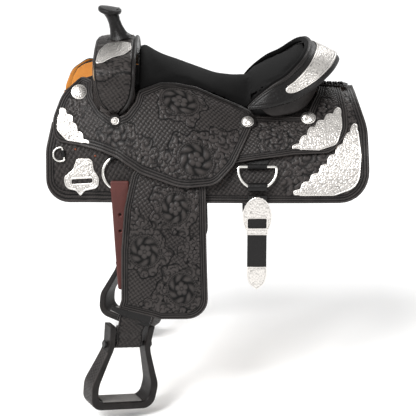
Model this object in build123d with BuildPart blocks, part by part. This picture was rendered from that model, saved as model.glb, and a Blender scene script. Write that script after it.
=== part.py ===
from build123d import *
import math
import os

# Western show saddle. X runs from the horn (-X) to the cantle (+X), -Y is the near (left) side, +Z is up.
# The origin is the crest of the channel under the skirts, midway along them, where a rack or back goes.
# Only the near side is drawn: the off side is its mirror about the XZ plane.

# ---- Driving dimensions (mm, degrees) ----
# The skirts' outer face is an elliptic arc over the back: x: (half width, drop to lowest point, crest height)
SIDE_FORM = {
    -400: (218, 460, 112),
    -300: (218, 460, 112),
    -60: (230, 337, 50),
    40: (234, 285, 12),
    120: (238, 282, 12),
    260: (240, 287, 18),
    400: (240, 287, 18),
}
SKIRT_THICK = 6.0
FLEECE_GAP = 0.5
FLEECE_THICK = 11.5
JOCKEY_THICK = 4.0
SILVER_THICK = 1.3
SILVER_GAP = 0.3
# Inner face of each layer over the skirt, by x
SEAT_JOCKEY_OVER = {-400: 1.5, -290: 2, -235: 14, -205: 28, -190: 30, -40: 30, 30: 24, 70: 17, 115: 16}
REAR_JOCKEY_OVER = {20: 10, 160: 10, 230: 6, 300: 2, 400: 2}
BAR_TOP = {-245: 16, -180: 19, -100: 14, -60: 11, -20: 8, 16: 9, 80: 10, 160: 15, 222: 7}
FORK_OVER = 21.0

FORK_FRONT = -258.0
FORK_REAR = -170.0
COVER_THICK = 5.0
SLIVER_ROOM = 0.3

HORN_BASE = (-205, 0, 138)
HORN_LEAN = 16.0
HORN_CORE_R = 8.0
HORN_NECK_R = 15.0
HORN_NECK_LENGTH = 60.0
HORN_SINK = 12.0
WRAP_START = -1.5
CAP_CENTRE = (-228, 0, 199)
CAP_TILT = 9.0
CAP_LENGTH = 54.0
CAP_WIDTH = 66.0
CAP_THICK = 12.0

PAD_THICK = 10.0

LEATHER_LEAN = 20.0
LEATHER_PIVOT = (-100, -187.1, -50)
LEATHER_THICK = 5.0
STRAP_WIDTH = 76.0
FENDER_INNER = 253.0
FENDER_TOP = -199.0
STRAP_INNER = 243.0
BUCKLE_THICK = 2.5
SLEEVE_WALL = 1.5

BOLT_CENTRE = (-187, -248, -531)
STIRRUP_YAW = 28.0
STIRRUP_ROLL = 10.0
BOLT_R = 6.0
NECK_WIDTH = 66.0

RING_CENTRE = (-199, -204.7, -132)
RING_R = 38.0
RING_WIRE_R = 3.4
RING_LEAN = 15.7
LATIGO_WIDTH = 42.0

DEE_PIVOT = (111, -211.5, -116)
DEE_HALF_BAR = 43.0
DEE_DEPTH = 50.0
DEE_WIRE_R = 3.25
DEE_LEAN = 27.9
BILLET_WIDTH = 44.0
BILLET_HOLE_R = 7.5
BILLET_LEATHER = 2.6
BILLET_OUTER = 238.5
BILLET_THICK = 6.0

BREAST_BAR_TOP = (-331, -181.3, -76)
BREAST_BAR_END = (-324, -191.9, -109)
BREAST_WIRE_R = 2.2
BREAST_SIDE = 7.0


def between(table, x):
    """Linear value at x of a table {x: value or tuple}."""
    keys = sorted(table)
    x = min(max(x, keys[0]), keys[-1])
    for low, high in zip(keys, keys[1:]):
        if low <= x <= high:
            t = (x - low) / (high - low)
            a, b = table[low], table[high]
            if isinstance(a, tuple):
                return tuple(p + t * (q - p) for p, q in zip(a, b))
            return a + t * (b - a)


def face_at(x, z, over):
    """Plane touching the near surface `over` mm outside the skirt, where it stands at height z."""
    half, drop, crest = between(SIDE_FORM, x)
    cosine = 1 - (crest + over - z) / (drop + over)
    sine = math.sqrt(1 - cosine * cosine)
    normal = Vector(0, -sine / (half + over), cosine / (drop + over)).normalized()
    return Plane(origin=(x, -(half + over) * sine, z), x_dir=(1, 0, 0), z_dir=normal)


def band(inner, outer):
    """Loft a near-side shell between two offsets from the skirt, each a number or a table by x."""
    tables = [t for t in (inner, outer) if isinstance(t, dict)]
    low = max([min(t) for t in tables], default=-400)
    high = min([max(t) for t in tables], default=400)
    stations = set(SIDE_FORM)
    for table in tables:
        stations |= set(table)
    faces = []
    for x in sorted(s for s in stations | {low, high} if low <= s <= high):
        half, drop, crest = between(SIDE_FORM, x)
        near = between(inner, x) if isinstance(inner, dict) else inner
        far = between(outer, x) if isinstance(outer, dict) else outer
        with BuildSketch(Plane.YZ.offset(x)) as section:
            with BuildLine():
                outside = EllipticalCenterArc((0, crest - drop), half + far, drop + far, 90, arc_size=90)
                inside = EllipticalCenterArc((0, crest - drop), half + near, drop + near, 90, arc_size=90)
                Line(outside @ 0, inside @ 0)
                Line(outside @ 1, inside @ 1)
            make_face()
        faces.append(section.sketch)
    loft(faces, ruled=True)


def shifted(table, step):
    """The same table with every value raised by step."""
    return {x: value + step for x, value in table.items()}


def crest_block(over):
    """Loft the whole rounded back up to `over` mm outside the skirt and take it away."""
    faces = []
    for x in (-300, -60, 40, 120, 260):
        half, drop, crest = SIDE_FORM[x]
        with BuildSketch(Plane.YZ.offset(x)) as section:
            with Locations((0, crest - drop)):
                Ellipse(half + over, drop + over)
        faces.append(section.sketch)
    loft(faces, ruled=True, mode=Mode.SUBTRACT)


def rounded(corners):
    """Closed outline through (u, v, radius) corners, each turned by a tangent arc."""
    points = [Vector(u, v) for u, v, r in corners]
    count = len(points)
    ends = []
    for i, (u, v, radius) in enumerate(corners):
        before = points[i - 1] - points[i]
        after = points[(i + 1) % count] - points[i]
        half_turn = math.radians(before.get_angle(after)) / 2
        room = 0.45 * min(before.length, after.length)
        cut = min(radius / math.tan(half_turn), room)
        start = points[i] + before.normalized() * cut
        stop = points[i] + after.normalized() * cut
        inward = (before.normalized() + after.normalized()).normalized()
        true_radius = cut * math.tan(half_turn)
        centre = points[i] + inward * (true_radius / math.sin(half_turn))
        ends.append((start, centre - inward * true_radius, stop))
    for i, (start, middle, stop) in enumerate(ends):
        if (stop - start).length > 0.01:
            ThreePointArc(start, middle, stop)
        Line(stop, ends[(i + 1) % count][0])


def keep_side(corners, grow=0.0, mode=Mode.INTERSECT):
    """Trim the near side to a rounded outline seen from the side, in (x, z)."""
    with BuildSketch(Plane.XZ) as outline:
        with BuildLine():
            rounded(corners)
        make_face()
        if grow:
            offset(amount=grow, mode=Mode.REPLACE)
    extrude(outline.sketch, amount=330, mode=mode)


def cut_plan(points):
    """Cut away a polygon seen from above, in (x, y)."""
    with BuildSketch(Plane.XY.offset(-260)) as plan:
        with BuildLine():
            Polyline(*points, close=True)
        make_face()
    extrude(plan.sketch, amount=520, mode=Mode.SUBTRACT)


def write(piece, name):
    """Label a finished piece and write its STEP file."""
    piece.label = name
    export_step(piece, f"parts/{name}.step")


def write_sides(piece, name, off_name=None):
    """Write the near piece and its off-side mirror."""
    write(piece, "near_" + name)
    with BuildPart() as off:
        mirror(piece, about=Plane.XZ)
    write(off.part, "off_" + (off_name or name))


def write_both(piece, name):
    """Write the near piece and its mirror as one node."""
    with BuildPart() as both:
        add(piece)
        mirror(piece, about=Plane.XZ)
    write(both.part, name)


os.makedirs("parts", exist_ok=True)

# ---- Skirts and their fleece ----
SKIRT_OUTLINE = [
    (-300, 130, 0), (-303, 66, 30), (-346, 5, 70), (-367, -85, 90), (-367, -203, 70),
    (0, -199, 0), (365, -196, 75), (363, -45, 90), (338, 25, 20), (335, 130, 0),
]
CHANNEL_PLAN = [
    (-410, 20), (-410, -62), (-180, -52), (-80, -28), (215, -28), (262, -1), (410, -1), (410, 20),
]

with BuildPart() as skirt:
    band(-SKIRT_THICK, 0)
    keep_side(SKIRT_OUTLINE)
    cut_plan(CHANNEL_PLAN)
write_sides(skirt.part, "skirt")

with BuildPart() as fleece:
    band(-SKIRT_THICK - FLEECE_GAP - FLEECE_THICK, -SKIRT_THICK - FLEECE_GAP)
    keep_side(SKIRT_OUTLINE, grow=-3)
    cut_plan(CHANNEL_PLAN)
write_sides(fleece.part, "fleece")

# ---- Tree: two bars, the fork and the cantle board ----
BAR_PLAN = [
    (-240, -72, 20), (-200, -58, 20), (-60, -44, 60), (80, -40, 60), (215, -38, 25),
    (215, -122, 40), (90, -112, 60), (20, -84, 60), (-70, -92, 60), (-240, -116, 20),
]

with BuildPart() as bar:
    band(0.5, BAR_TOP)
    with BuildSketch(Plane.XY.offset(-100)):
        with BuildLine():
            rounded(BAR_PLAN)
        make_face()
    extrude(amount=300, mode=Mode.INTERSECT)
write_sides(bar.part, "bar")

SWELL_FRONT = [
    (-153, 60, 60), (-166, 6, 8), (-150, -12, 8), (150, -12, 8), (166, 6, 8), (153, 60, 60), (150, 88, 30),
    (118, 109, 50), (60, 124, 90), (0, 131, 120), (-60, 124, 90), (-118, 109, 50), (-150, 88, 30),
]
SWELL_SIDE = [
    (-258, 160, 6), (-258, 75, 40), (-243, 34, 30), (-211, 2, 22), (-177, 28, 30), (-170, 60, 30),
    (-170, 160, 6),
]


def swell_form(grow):
    """Fork-shaped block, grown on all its outer faces."""
    with BuildSketch(Plane.YZ.offset(FORK_FRONT - grow)) as front:
        with BuildLine():
            rounded(SWELL_FRONT)
        make_face()
        if grow:
            offset(amount=grow, mode=Mode.REPLACE)
    extrude(front.sketch, amount=FORK_REAR - FORK_FRONT + 2 * grow)
    with BuildSketch(Plane.XZ) as side:
        with BuildLine():
            rounded(SWELL_SIDE)
        make_face()
        if grow:
            offset(amount=grow, mode=Mode.REPLACE)
    extrude(side.sketch, amount=300, both=True, mode=Mode.INTERSECT)
    crest_block(FORK_OVER)


horn_line = Plane(
    origin=HORN_BASE,
    x_dir=(0, 1, 0),
    z_dir=(-math.sin(math.radians(HORN_LEAN)), 0, math.cos(math.radians(HORN_LEAN))),
)
cap_face = Plane(
    origin=CAP_CENTRE,
    x_dir=(0, 1, 0),
    z_dir=(math.sin(math.radians(CAP_TILT)), 0, math.cos(math.radians(CAP_TILT))),
)

with BuildPart() as horn_cap:
    with BuildSketch(cap_face.offset(-CAP_THICK / 2)):
        Ellipse(CAP_WIDTH / 2, CAP_LENGTH / 2)
    extrude(amount=CAP_THICK)
    fillet(horn_cap.edges().filter_by(GeomType.ELLIPSE), 4)
write(horn_cap.part, "horn_cap")

with BuildPart() as horn_post:
    with BuildSketch(horn_line.offset(-20)):
        Circle(HORN_CORE_R)
    extrude(amount=20 + HORN_NECK_LENGTH)
    add(horn_cap.part, mode=Mode.SUBTRACT)
write(horn_post.part, "horn_post")

with BuildPart() as swell_inner:
    swell_form(SLIVER_ROOM)

with BuildPart() as fork:
    swell_form(0)
    add(horn_post.part, mode=Mode.SUBTRACT)
write(fork.part, "fork")

with BuildPart() as swell_cover:
    swell_form(COVER_THICK)
    add(swell_inner.part, mode=Mode.SUBTRACT)
    with BuildSketch(horn_line.offset(-HORN_SINK)):
        Circle(HORN_NECK_R + 1.5)
    extrude(amount=HORN_NECK_LENGTH, mode=Mode.SUBTRACT)
write(swell_cover.part, "swell_cover")

with BuildPart() as horn_wrap:
    with BuildSketch(horn_line.offset(WRAP_START)):
        Circle(HORN_NECK_R)
        Circle(HORN_CORE_R, mode=Mode.SUBTRACT)
    extrude(amount=HORN_NECK_LENGTH - WRAP_START)
    add(horn_cap.part, mode=Mode.SUBTRACT)
    add(fork.part, mode=Mode.SUBTRACT)
write(horn_wrap.part, "horn_wrap")

# ---- Seat: suede pad over the ground seat, as arched sections (x, half width, edge height, middle height) ----
SEAT_SECTIONS = [
    (-160, 139, 45, 120), (-130, 123, 54, 102), (-105, 116, 57, 89), (-75, 108, 55, 78), (-30, 97, 46, 59),
    (16, 94, 26, 45), (62, 105, 8, 41), (93, 120, -2, 45), (106, 158, 26, 50), (150, 152, 55, 68),
    (190, 137, 78, 92), (214, 110, 100, 110), (230, 62, 118, 122),
]
GROUND_INSET = 20.0
GROUND_SPAN = 8.0


def arched(x, half, edge, middle):
    """One arch across the saddle at station x."""
    return ThreePointArc((-half, edge), (0, middle), (half, edge))


def close_arches(top, bottom):
    """Join two arches into a face."""
    Line(top @ 0, bottom @ 0)
    Line(top @ 1, bottom @ 1)


with BuildPart() as seat_pad:
    for x, half, edge, middle in SEAT_SECTIONS:
        with BuildSketch(Plane.YZ.offset(x)):
            with BuildLine():
                top = arched(x, half, edge, middle)
                under = arched(x, half - 7, edge - 3, middle - PAD_THICK)
                close_arches(top, under)
            make_face()
    loft(ruled=True)
write(seat_pad.part, "seat_pad")

with BuildPart() as ground_seat:
    for x, half, edge, middle in SEAT_SECTIONS[:-1]:
        inset = GROUND_INSET if x < 100 else 12
        side = half - inset
        lift = edge - 4.5 + (middle - PAD_THICK - edge + 3) * (1 - (side / (half - 7)) ** 2)
        with BuildSketch(Plane.YZ.offset(x)):
            with BuildLine():
                top = arched(x, side, lift, middle - PAD_THICK - 1.2)
                under = arched(x, side - 4, lift - GROUND_SPAN, middle - PAD_THICK - 1.2 - GROUND_SPAN)
                close_arches(top, under)
            make_face()
    loft(ruled=True)
    add(bar.part, mode=Mode.SUBTRACT)
    mirror(bar.part, about=Plane.XZ, mode=Mode.SUBTRACT)
write(ground_seat.part, "ground_seat")

# ---- Cantle: sections across the rim, from the middle to the near front end ----
# Each is (inner x, |y|, height), (outer x, |y|, height), base reach behind the inner edge, base height.
CANTLE_SECTIONS = [
    ((238, 0, 124), (310, 0, 92), 24, 34),
    ((233, 60, 121), (299, 58, 85), 20, 31),
    ((223, 100, 111), (281, 99, 73), 14, 12),
    ((207, 125, 96), (252, 133, 54), 8, -6),
    ((179, 145, 73), (221, 152, 37), 6, -20),
    ((149, 155, 57), (185, 166, 22), 4, -30),
    ((119, 161, 37), (145, 175, 7), 2, -28),
    ((101, 164, 26), (112, 181, 2), 1, -8),
]
ROLL_THICK = 12.0
BOARD_THICK = 16.0


def cantle_plane(section, side):
    """Upright plane across the rim: x outward from the inner edge, y up, with the rim's width and heights."""
    inner, outer, base_reach, base_height = section
    start = Vector(inner[0], side * inner[1], 0)
    across = Vector(outer[0], side * outer[1], 0) - start
    plane = Plane(origin=start, x_dir=across, z_dir=across.cross(Vector(0, 0, 1)))
    return plane, across.length, inner[2], outer[2], base_reach, base_height


def cantle_loft(corners, first=0, last=7):
    """Loft round the cantle; corners(width, inner height, outer height, base reach, base height, index)."""
    order = [(i, -1) for i in range(last, 0, -1)] + [(0, 1)] + [(i, 1) for i in range(1, last + 1)]
    faces = []
    for index, side in order:
        plane, width, high, low, reach, base = cantle_plane(CANTLE_SECTIONS[index], side)
        with BuildSketch(plane) as section:
            with BuildLine():
                Polyline(*corners(width, high, low, reach, base, index), close=True)
            make_face()
        faces.append(section.sketch)
    loft(faces, ruled=True)


def roll_corners(width, high, low, reach, base, index):
    """The Cheyenne roll: the broad flange behind the rim."""
    return [(0.5, high), (width, low), (width - 2, low - ROLL_THICK + 3), (0.5, high - ROLL_THICK)]


def plate_corners(width, high, low, reach, base, index):
    """The silver plate on the roll, narrowing towards its ends."""
    start, stop = (0.2, 0.82) if index < 5 else (0.34, 0.7)
    near = high + (low - high) * start + SILVER_GAP + 0.2
    far = high + (low - high) * stop + SILVER_GAP + 0.2
    return [
        (start * width, near), (stop * width, far),
        (stop * width, far + SILVER_THICK), (start * width, near + SILVER_THICK),
    ]


def back_corners(width, high, low, reach, base, index):
    """The leather down the cantle's back, from under the roll to the bars."""
    top = high + (low - high) * 0.45 - ROLL_THICK - 0.3
    return [(0.45 * width, top), (0.45 * width - 6, top), (reach - 5, base), (reach, base)]


def board_corners(width, high, low, reach, base, index):
    """The wooden cantle board inside, standing on the bars."""
    top = high - ROLL_THICK - 3
    back = high + (low - high) * 0.45 - ROLL_THICK - 3
    foot = base + 8
    return [(2, top), (0.45 * width - 7, back), (reach - 7, foot), (reach - BOARD_THICK, foot)]


with BuildPart() as cheyenne_roll:
    cantle_loft(roll_corners)
write(cheyenne_roll.part, "cheyenne_roll")

with BuildPart() as cantle_plate:
    cantle_loft(plate_corners, last=5)
write(cantle_plate.part, "cantle_plate")

with BuildPart() as cantle_back:
    cantle_loft(back_corners)
write(cantle_back.part, "cantle_back")

with BuildPart() as cantle_board:
    cantle_loft(board_corners, last=5)
    add(ground_seat.part, mode=Mode.SUBTRACT)
    add(bar.part, mode=Mode.SUBTRACT)
    mirror(bar.part, about=Plane.XZ, mode=Mode.SUBTRACT)
write(cantle_board.part, "cantle_board")

# ---- Jockeys: the leathers over the skirts ----
SEAT_JOCKEY_OUTLINE = [
    (-269, 73, 6), (-298, 73, 25), (-335, 28, 60), (-352, -20, 60), (-349, -67, 28), (-258, -81, 60),
    (-205, -94, 40), (-150, -128, 60), (-60, -157, 110), (18, -151, 50), (58, -112, 40), (108, -22, 8),
    (95, -8, 8), (62, 3, 40), (16, 21, 60), (-30, 41, 60), (-75, 51, 60), (-109, 53, 40), (-158, 40, 10),
    (-164, 20, 12), (-184, -4, 20), (-211, -14, 20), (-240, 0, 20), (-263, 30, 30),
]
REAR_JOCKEY_OUTLINE = [
    (42, 70, 0), (42, -112, 4), (119, -101, 60), (194, -92, 60), (280, -90, 45), (318, -50, 40),
    (318, -15, 50), (308, 30, 6), (308, 70, 0),
]
REAR_JOCKEY_PLAN = [(20, 20), (20, -132), (225, -132), (252, -60), (262, -0.8), (410, -0.8), (410, 20)]

with BuildPart() as seat_jockey:
    band(SEAT_JOCKEY_OVER, shifted(SEAT_JOCKEY_OVER, JOCKEY_THICK))
    keep_side(SEAT_JOCKEY_OUTLINE)
write_sides(seat_jockey.part, "seat_jockey")

with BuildPart() as rear_jockey:
    band(REAR_JOCKEY_OVER, shifted(REAR_JOCKEY_OVER, JOCKEY_THICK))
    keep_side(REAR_JOCKEY_OUTLINE)
    cut_plan(REAR_JOCKEY_PLAN)
write_sides(rear_jockey.part, "rear_jockey")

with BuildPart() as spine_lacing:
    with BuildSketch(Plane.XY.offset(26.7)):
        with Locations((292, 0)):
            RectangleRounded(56, 30, 8)
    extrude(amount=3)
    with BuildSketch(Plane.XY.offset(29.7)):
        with GridLocations(14, 0, 3, 1):
            with Locations((292, 0)):
                SlotOverall(18, 5, rotation=70)
    extrude(amount=2)
write(spine_lacing.part, "spine_lacing")

# ---- Silver on the leathers ----
FRONT_PLATE = [
    (-334, 8, 4), (-309, -14, 4), (-299, -35, 4), (-279, -59, 4), (-262, -72, 4), (-320, -64, 12),
    (-342, -42, 12), (-341, -20, 20),
]
REAR_PLATE = [
    (305, -3, 5), (262, -24, 4), (233, -41, 4), (200, -70, 4), (184, -80, 5), (250, -83, 20), (292, -72, 20),
    (305, -40, 20),
]
SKIRT_PLATE = [
    (340, -30, 5), (318, -50, 4), (300, -74, 4), (252, -125, 4), (215, -155, 4), (184, -180, 5),
    (285, -179, 30), (340, -160, 40), (347, -95, 40),
]
KEEPER_OUTLINE = [
    (-300, -104, 6), (-260, -104, 6), (-250, -135, 8), (-245, -160, 10), (-268, -178, 6), (-288, -189, 3),
    (-308, -178, 6), (-325, -160, 10), (-310, -135, 8),
]
KEEPER_SLOT = [(-309, -151, 2), (-262, -148, 2), (-262, -156, 2), (-309, -159, 2)]


def silver(over, outline):
    """A thin plate with the outline, lying just clear of the surface `over` the skirt."""
    low = shifted(over, SILVER_GAP) if isinstance(over, dict) else over + SILVER_GAP
    high = shifted(over, SILVER_GAP + SILVER_THICK) if isinstance(over, dict) else low + SILVER_THICK
    band(low, high)
    keep_side(outline)


with BuildPart() as front_jockey_plate:
    silver(shifted(SEAT_JOCKEY_OVER, JOCKEY_THICK), FRONT_PLATE)
write_both(front_jockey_plate.part, "front_jockey_plates")

with BuildPart() as rear_jockey_plate:
    silver(shifted(REAR_JOCKEY_OVER, JOCKEY_THICK), REAR_PLATE)
write_both(rear_jockey_plate.part, "rear_jockey_plates")

with BuildPart() as skirt_plate:
    silver(0, SKIRT_PLATE)
write_both(skirt_plate.part, "skirt_plates")

with BuildPart() as latigo_keeper:
    silver(0, KEEPER_OUTLINE)
    keep_side(KEEPER_SLOT, mode=Mode.SUBTRACT)
write_both(latigo_keeper.part, "latigo_keepers")

SWELL_PLATE = [
    (-256, 84, 4), (-232, 87, 12), (-205, 96, 20), (-181, 102, 6), (-180, 120, 8), (-190, 131, 10),
    (-215, 133, 14), (-240, 126, 14), (-253, 108, 10),
]
with BuildPart() as plate_core:
    swell_form(COVER_THICK + SILVER_GAP)
with BuildPart() as swell_plate:
    swell_form(COVER_THICK + SILVER_GAP + SILVER_THICK)
    add(plate_core.part, mode=Mode.SUBTRACT)
    keep_side(SWELL_PLATE)
    with BuildSketch(Plane.XY.offset(60)):
        with Locations((-217, -140)):
            Rectangle(76, 80)
    extrude(amount=120, mode=Mode.INTERSECT)
write_both(swell_plate.part, "swell_plates")

# Conchos: (x, height, offset of the leather below, radius)
CONCHOS = [(-293, 36, 8.5, 18), (-209, -17, 33, 9), (90, -27, 21.5, 14), (228, -22, 12.5, 17)]
CONCHO_THICK = 3.0
with BuildPart() as concho:
    for x, z, over, radius in CONCHOS:
        with BuildSketch(face_at(x, z, over)):
            Circle(radius)
        extrude(amount=CONCHO_THICK, taper=25)
write_both(concho.part, "conchos")

# ---- Rigging: front ring, rear dee bar keeper and the straps that hold them ----
ring_plane = Plane(
    origin=RING_CENTRE,
    x_dir=(1, 0, 0),
    z_dir=(0, -math.cos(math.radians(RING_LEAN)), math.sin(math.radians(RING_LEAN))),
)


def ring_body(minor, mode=Mode.ADD):
    """A torus on the front ring's circle."""
    across = Plane(origin=ring_plane.origin, x_dir=ring_plane.x_dir, z_dir=ring_plane.y_dir)
    with BuildSketch(across) as wire:
        with Locations((RING_R, 0)):
            Circle(minor)
    revolve(wire.sketch, axis=Axis(ring_plane.origin, ring_plane.z_dir), mode=mode)


def ring_sector(side, width):
    """Keep only what lies within the width, on the ring's upper (+1) or lower (-1) side."""
    with BuildSketch(ring_plane.offset(-20)) as sector:
        with Locations((0, side * 50)):
            Rectangle(width, 90)
    extrude(sector.sketch, amount=40, mode=Mode.INTERSECT)


with BuildPart() as front_ring:
    ring_body(RING_WIRE_R)
write_both(front_ring.part, "front_rings")

RIG_RING_WIDTH = 44.0
RIG_LEATHER_R = 5.9
KEEPER_BORE = 3.6
FRONT_STRAP = [(-240, -15, 6), (-240, -80, 6), (-221, -97, 4), (-177, -97, 4), (-150, -80, 6), (-150, -15, 6)]
REAR_STRAP = [(70, -50, 6), (89, -114, 3), (133, -114, 3), (170, -50, 6)]

dee_axis = Plane(origin=DEE_PIVOT, x_dir=(0, 1, 0), z_dir=(1, 0, 0))
bar_top = Vector(*BREAST_BAR_TOP)
bar_end = Vector(*BREAST_BAR_END)
breast_axis = Plane(origin=(bar_top + bar_end) / 2, x_dir=(-1, 0, 0), z_dir=bar_end - bar_top)

with BuildPart() as ring_loop:
    ring_body(RIG_LEATHER_R)
    ring_sector(1, RIG_RING_WIDTH)

with BuildPart() as front_rigging:
    band(0.4, 3.4)
    keep_side(FRONT_STRAP)
    add(ring_loop.part)
    ring_body(RING_WIRE_R + 0.3, mode=Mode.SUBTRACT)

with BuildPart() as rear_rigging:
    band(0.4, 3.4)
    keep_side(REAR_STRAP)
    with BuildSketch(dee_axis.offset(-22)):
        Circle(RIG_LEATHER_R)
    extrude(amount=44)
    with BuildSketch(dee_axis.offset(-40)):
        Circle(KEEPER_BORE)
    extrude(amount=80, mode=Mode.SUBTRACT)

with BuildPart() as breast_rigging:
    with BuildSketch(breast_axis.offset(-8)):
        Circle(4.6)
        Circle(BREAST_WIRE_R + 0.3, mode=Mode.SUBTRACT)
    extrude(amount=16)

with BuildPart() as rigging:
    add(front_rigging.part)
    add(rear_rigging.part)
    add(breast_rigging.part)
write_sides(rigging.part, "rigging")


# ---- Rear dee and its flank billet ----
def dee_plane(lean):
    """Plane of a dee hanging from the bar, y pointing down along the dee."""
    tilt = math.radians(lean)
    down = Vector(0, -math.sin(tilt), -math.cos(tilt))
    return Plane(origin=DEE_PIVOT, x_dir=(1, 0, 0), z_dir=Vector(1, 0, 0).cross(down))


with BuildPart() as rear_dee:
    straight = DEE_DEPTH - DEE_HALF_BAR
    with BuildLine(dee_plane(DEE_LEAN)) as dee_path:
        Line((0, 0), (DEE_HALF_BAR - 5, 0))
        CenterArc((DEE_HALF_BAR - 5, 5), 5, -90, 90)
        Line((DEE_HALF_BAR, 5), (DEE_HALF_BAR, straight))
        CenterArc((0, straight), DEE_HALF_BAR, 0, 180)
        Line((-DEE_HALF_BAR, straight), (-DEE_HALF_BAR, 5))
        CenterArc((-DEE_HALF_BAR + 5, 5), 5, 180, 90)
        Line((-DEE_HALF_BAR + 5, 0), (0, 0))
    with BuildSketch(Plane(origin=DEE_PIVOT, x_dir=(0, 1, 0), z_dir=(1, 0, 0))):
        Circle(DEE_WIRE_R)
    sweep(path=dee_path.wires()[0])
write_sides(rear_dee.part, "rear_dee")

wire_sag = DEE_HALF_BAR - math.sqrt(DEE_HALF_BAR**2 - (BILLET_WIDTH / 2) ** 2)
billet_pivot = dee_plane(DEE_LEAN).from_local_coords((0, DEE_DEPTH - wire_sag / 2, 0))
BILLET_END = -350.0
BILLET_TIP = -401.0
BUCKLE_CENTRE = -226.0
BUCKLE_HALF_WIDTH = 33.0
BUCKLE_HALF_HEIGHT = 47.0
WINDOW_TOP = -234.0
WINDOW_HEIGHT = 18.0
billet_x = DEE_PIVOT[0]

with BuildPart() as flank_billet:
    with BuildSketch(Plane.YZ.offset(billet_x - BILLET_WIDTH / 2)):
        with Locations((billet_pivot.Y, billet_pivot.Z)):
            Circle(BILLET_HOLE_R + BILLET_LEATHER)
        with Locations((-BILLET_OUTER + BILLET_THICK / 2, (billet_pivot.Z - 6 + BILLET_END) / 2)):
            Rectangle(BILLET_THICK, billet_pivot.Z - 6 - BILLET_END)
        with Locations((billet_pivot.Y, billet_pivot.Z)):
            Circle(BILLET_HOLE_R, mode=Mode.SUBTRACT)
    extrude(amount=BILLET_WIDTH)
write_sides(flank_billet.part, "flank_billet")

with BuildPart() as billet_silver:
    with BuildSketch(Plane.XZ.offset(BILLET_OUTER + SILVER_GAP)):
        with Locations((billet_x, BUCKLE_CENTRE)):
            Ellipse(BUCKLE_HALF_WIDTH, BUCKLE_HALF_HEIGHT)
        with Locations((billet_x, WINDOW_TOP - WINDOW_HEIGHT / 2)):
            Rectangle(BILLET_WIDTH, WINDOW_HEIGHT, mode=Mode.SUBTRACT)
    extrude(amount=2.5)
    with BuildSketch(Plane.XZ.offset(BILLET_OUTER + SILVER_GAP)):
        with BuildLine():
            half = BILLET_WIDTH / 2
            mid = (BILLET_END + BILLET_TIP) / 2 - 2
            rounded([
                (billet_x - half, BILLET_END + 4, 3), (billet_x + half, BILLET_END + 4, 3),
                (billet_x + half - 4, mid, 8), (billet_x, BILLET_TIP, 3), (billet_x - half + 4, mid, 8),
            ])
        make_face()
    extrude(amount=1.6)
write_sides(billet_silver.part, "billet_silver")

# ---- Latigo on the near side, off billet on the off side ----
LATIGO_INNER = 216.2
LATIGO_THICK = 6.0
LATIGO_END = -409.0
ring_bottom = ring_plane.from_local_coords((0, -RING_R, 0))
with BuildPart() as latigo:
    ring_body(RING_WIRE_R + 0.3 + 2.4)
    ring_sector(-1, LATIGO_WIDTH)
    with BuildSketch(Plane.XZ.offset(LATIGO_INNER)):
        with Locations((RING_CENTRE[0], (ring_bottom.Z + LATIGO_END) / 2)):
            Rectangle(LATIGO_WIDTH, ring_bottom.Z - LATIGO_END)
        with Locations((RING_CENTRE[0], LATIGO_END + 144)):
            Circle(3, mode=Mode.SUBTRACT)
    extrude(amount=LATIGO_THICK)
    ring_body(RING_WIRE_R + 0.35, mode=Mode.SUBTRACT)
write_sides(latigo.part, "latigo", "billet")

# ---- Breast-collar dee ----
with BuildPart() as breast_dee:
    half_bar = (bar_end - bar_top).length / 2 - BREAST_WIRE_R
    along = Plane(
        origin=(bar_top + bar_end) / 2, x_dir=bar_end - bar_top,
        z_dir=(bar_end - bar_top).cross(Vector(-1, 0, 0)),
    )
    with BuildLine(along) as breast_path:
        Line((0, 0), (half_bar - 3, 0))
        CenterArc((half_bar - 3, 3), 3, -90, 90)
        Line((half_bar, 3), (half_bar, BREAST_SIDE))
        CenterArc((0, BREAST_SIDE), half_bar, 0, 180)
        Line((-half_bar, BREAST_SIDE), (-half_bar, 3))
        CenterArc((-half_bar + 3, 3), 3, 180, 90)
        Line((-half_bar + 3, 0), (0, 0))
    with BuildSketch(breast_axis):
        Circle(BREAST_WIRE_R)
    sweep(path=breast_path.wires()[0])
write_sides(breast_dee.part, "breast_dee")

# ---- Stirrup leather and fender ----
lean = math.radians(LEATHER_LEAN)
leather_plane = Plane(
    origin=LEATHER_PIVOT, x_dir=(1, 0, 0), z_dir=(0, -math.cos(lean), math.sin(lean))
)
hinge_drop = (LEATHER_PIVOT[2] - FENDER_TOP) / math.cos(lean)
LEATHER_OUTLINE = [
    (-38, 6, 14), (38, 6, 14), (42, -50, 20), (86, -88, 20), (93, -120, 20), (94, -hinge_drop + 7, 3),
    (-86, -hinge_drop + 7, 3), (-80, -110, 20), (-70, -76, 20), (-42, -50, 20),
]
with BuildPart() as upper_leather:
    with BuildSketch(leather_plane):
        with BuildLine():
            rounded(LEATHER_OUTLINE)
        make_face()
    extrude(amount=LEATHER_THICK)
write_sides(upper_leather.part, "upper_leather")

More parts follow.
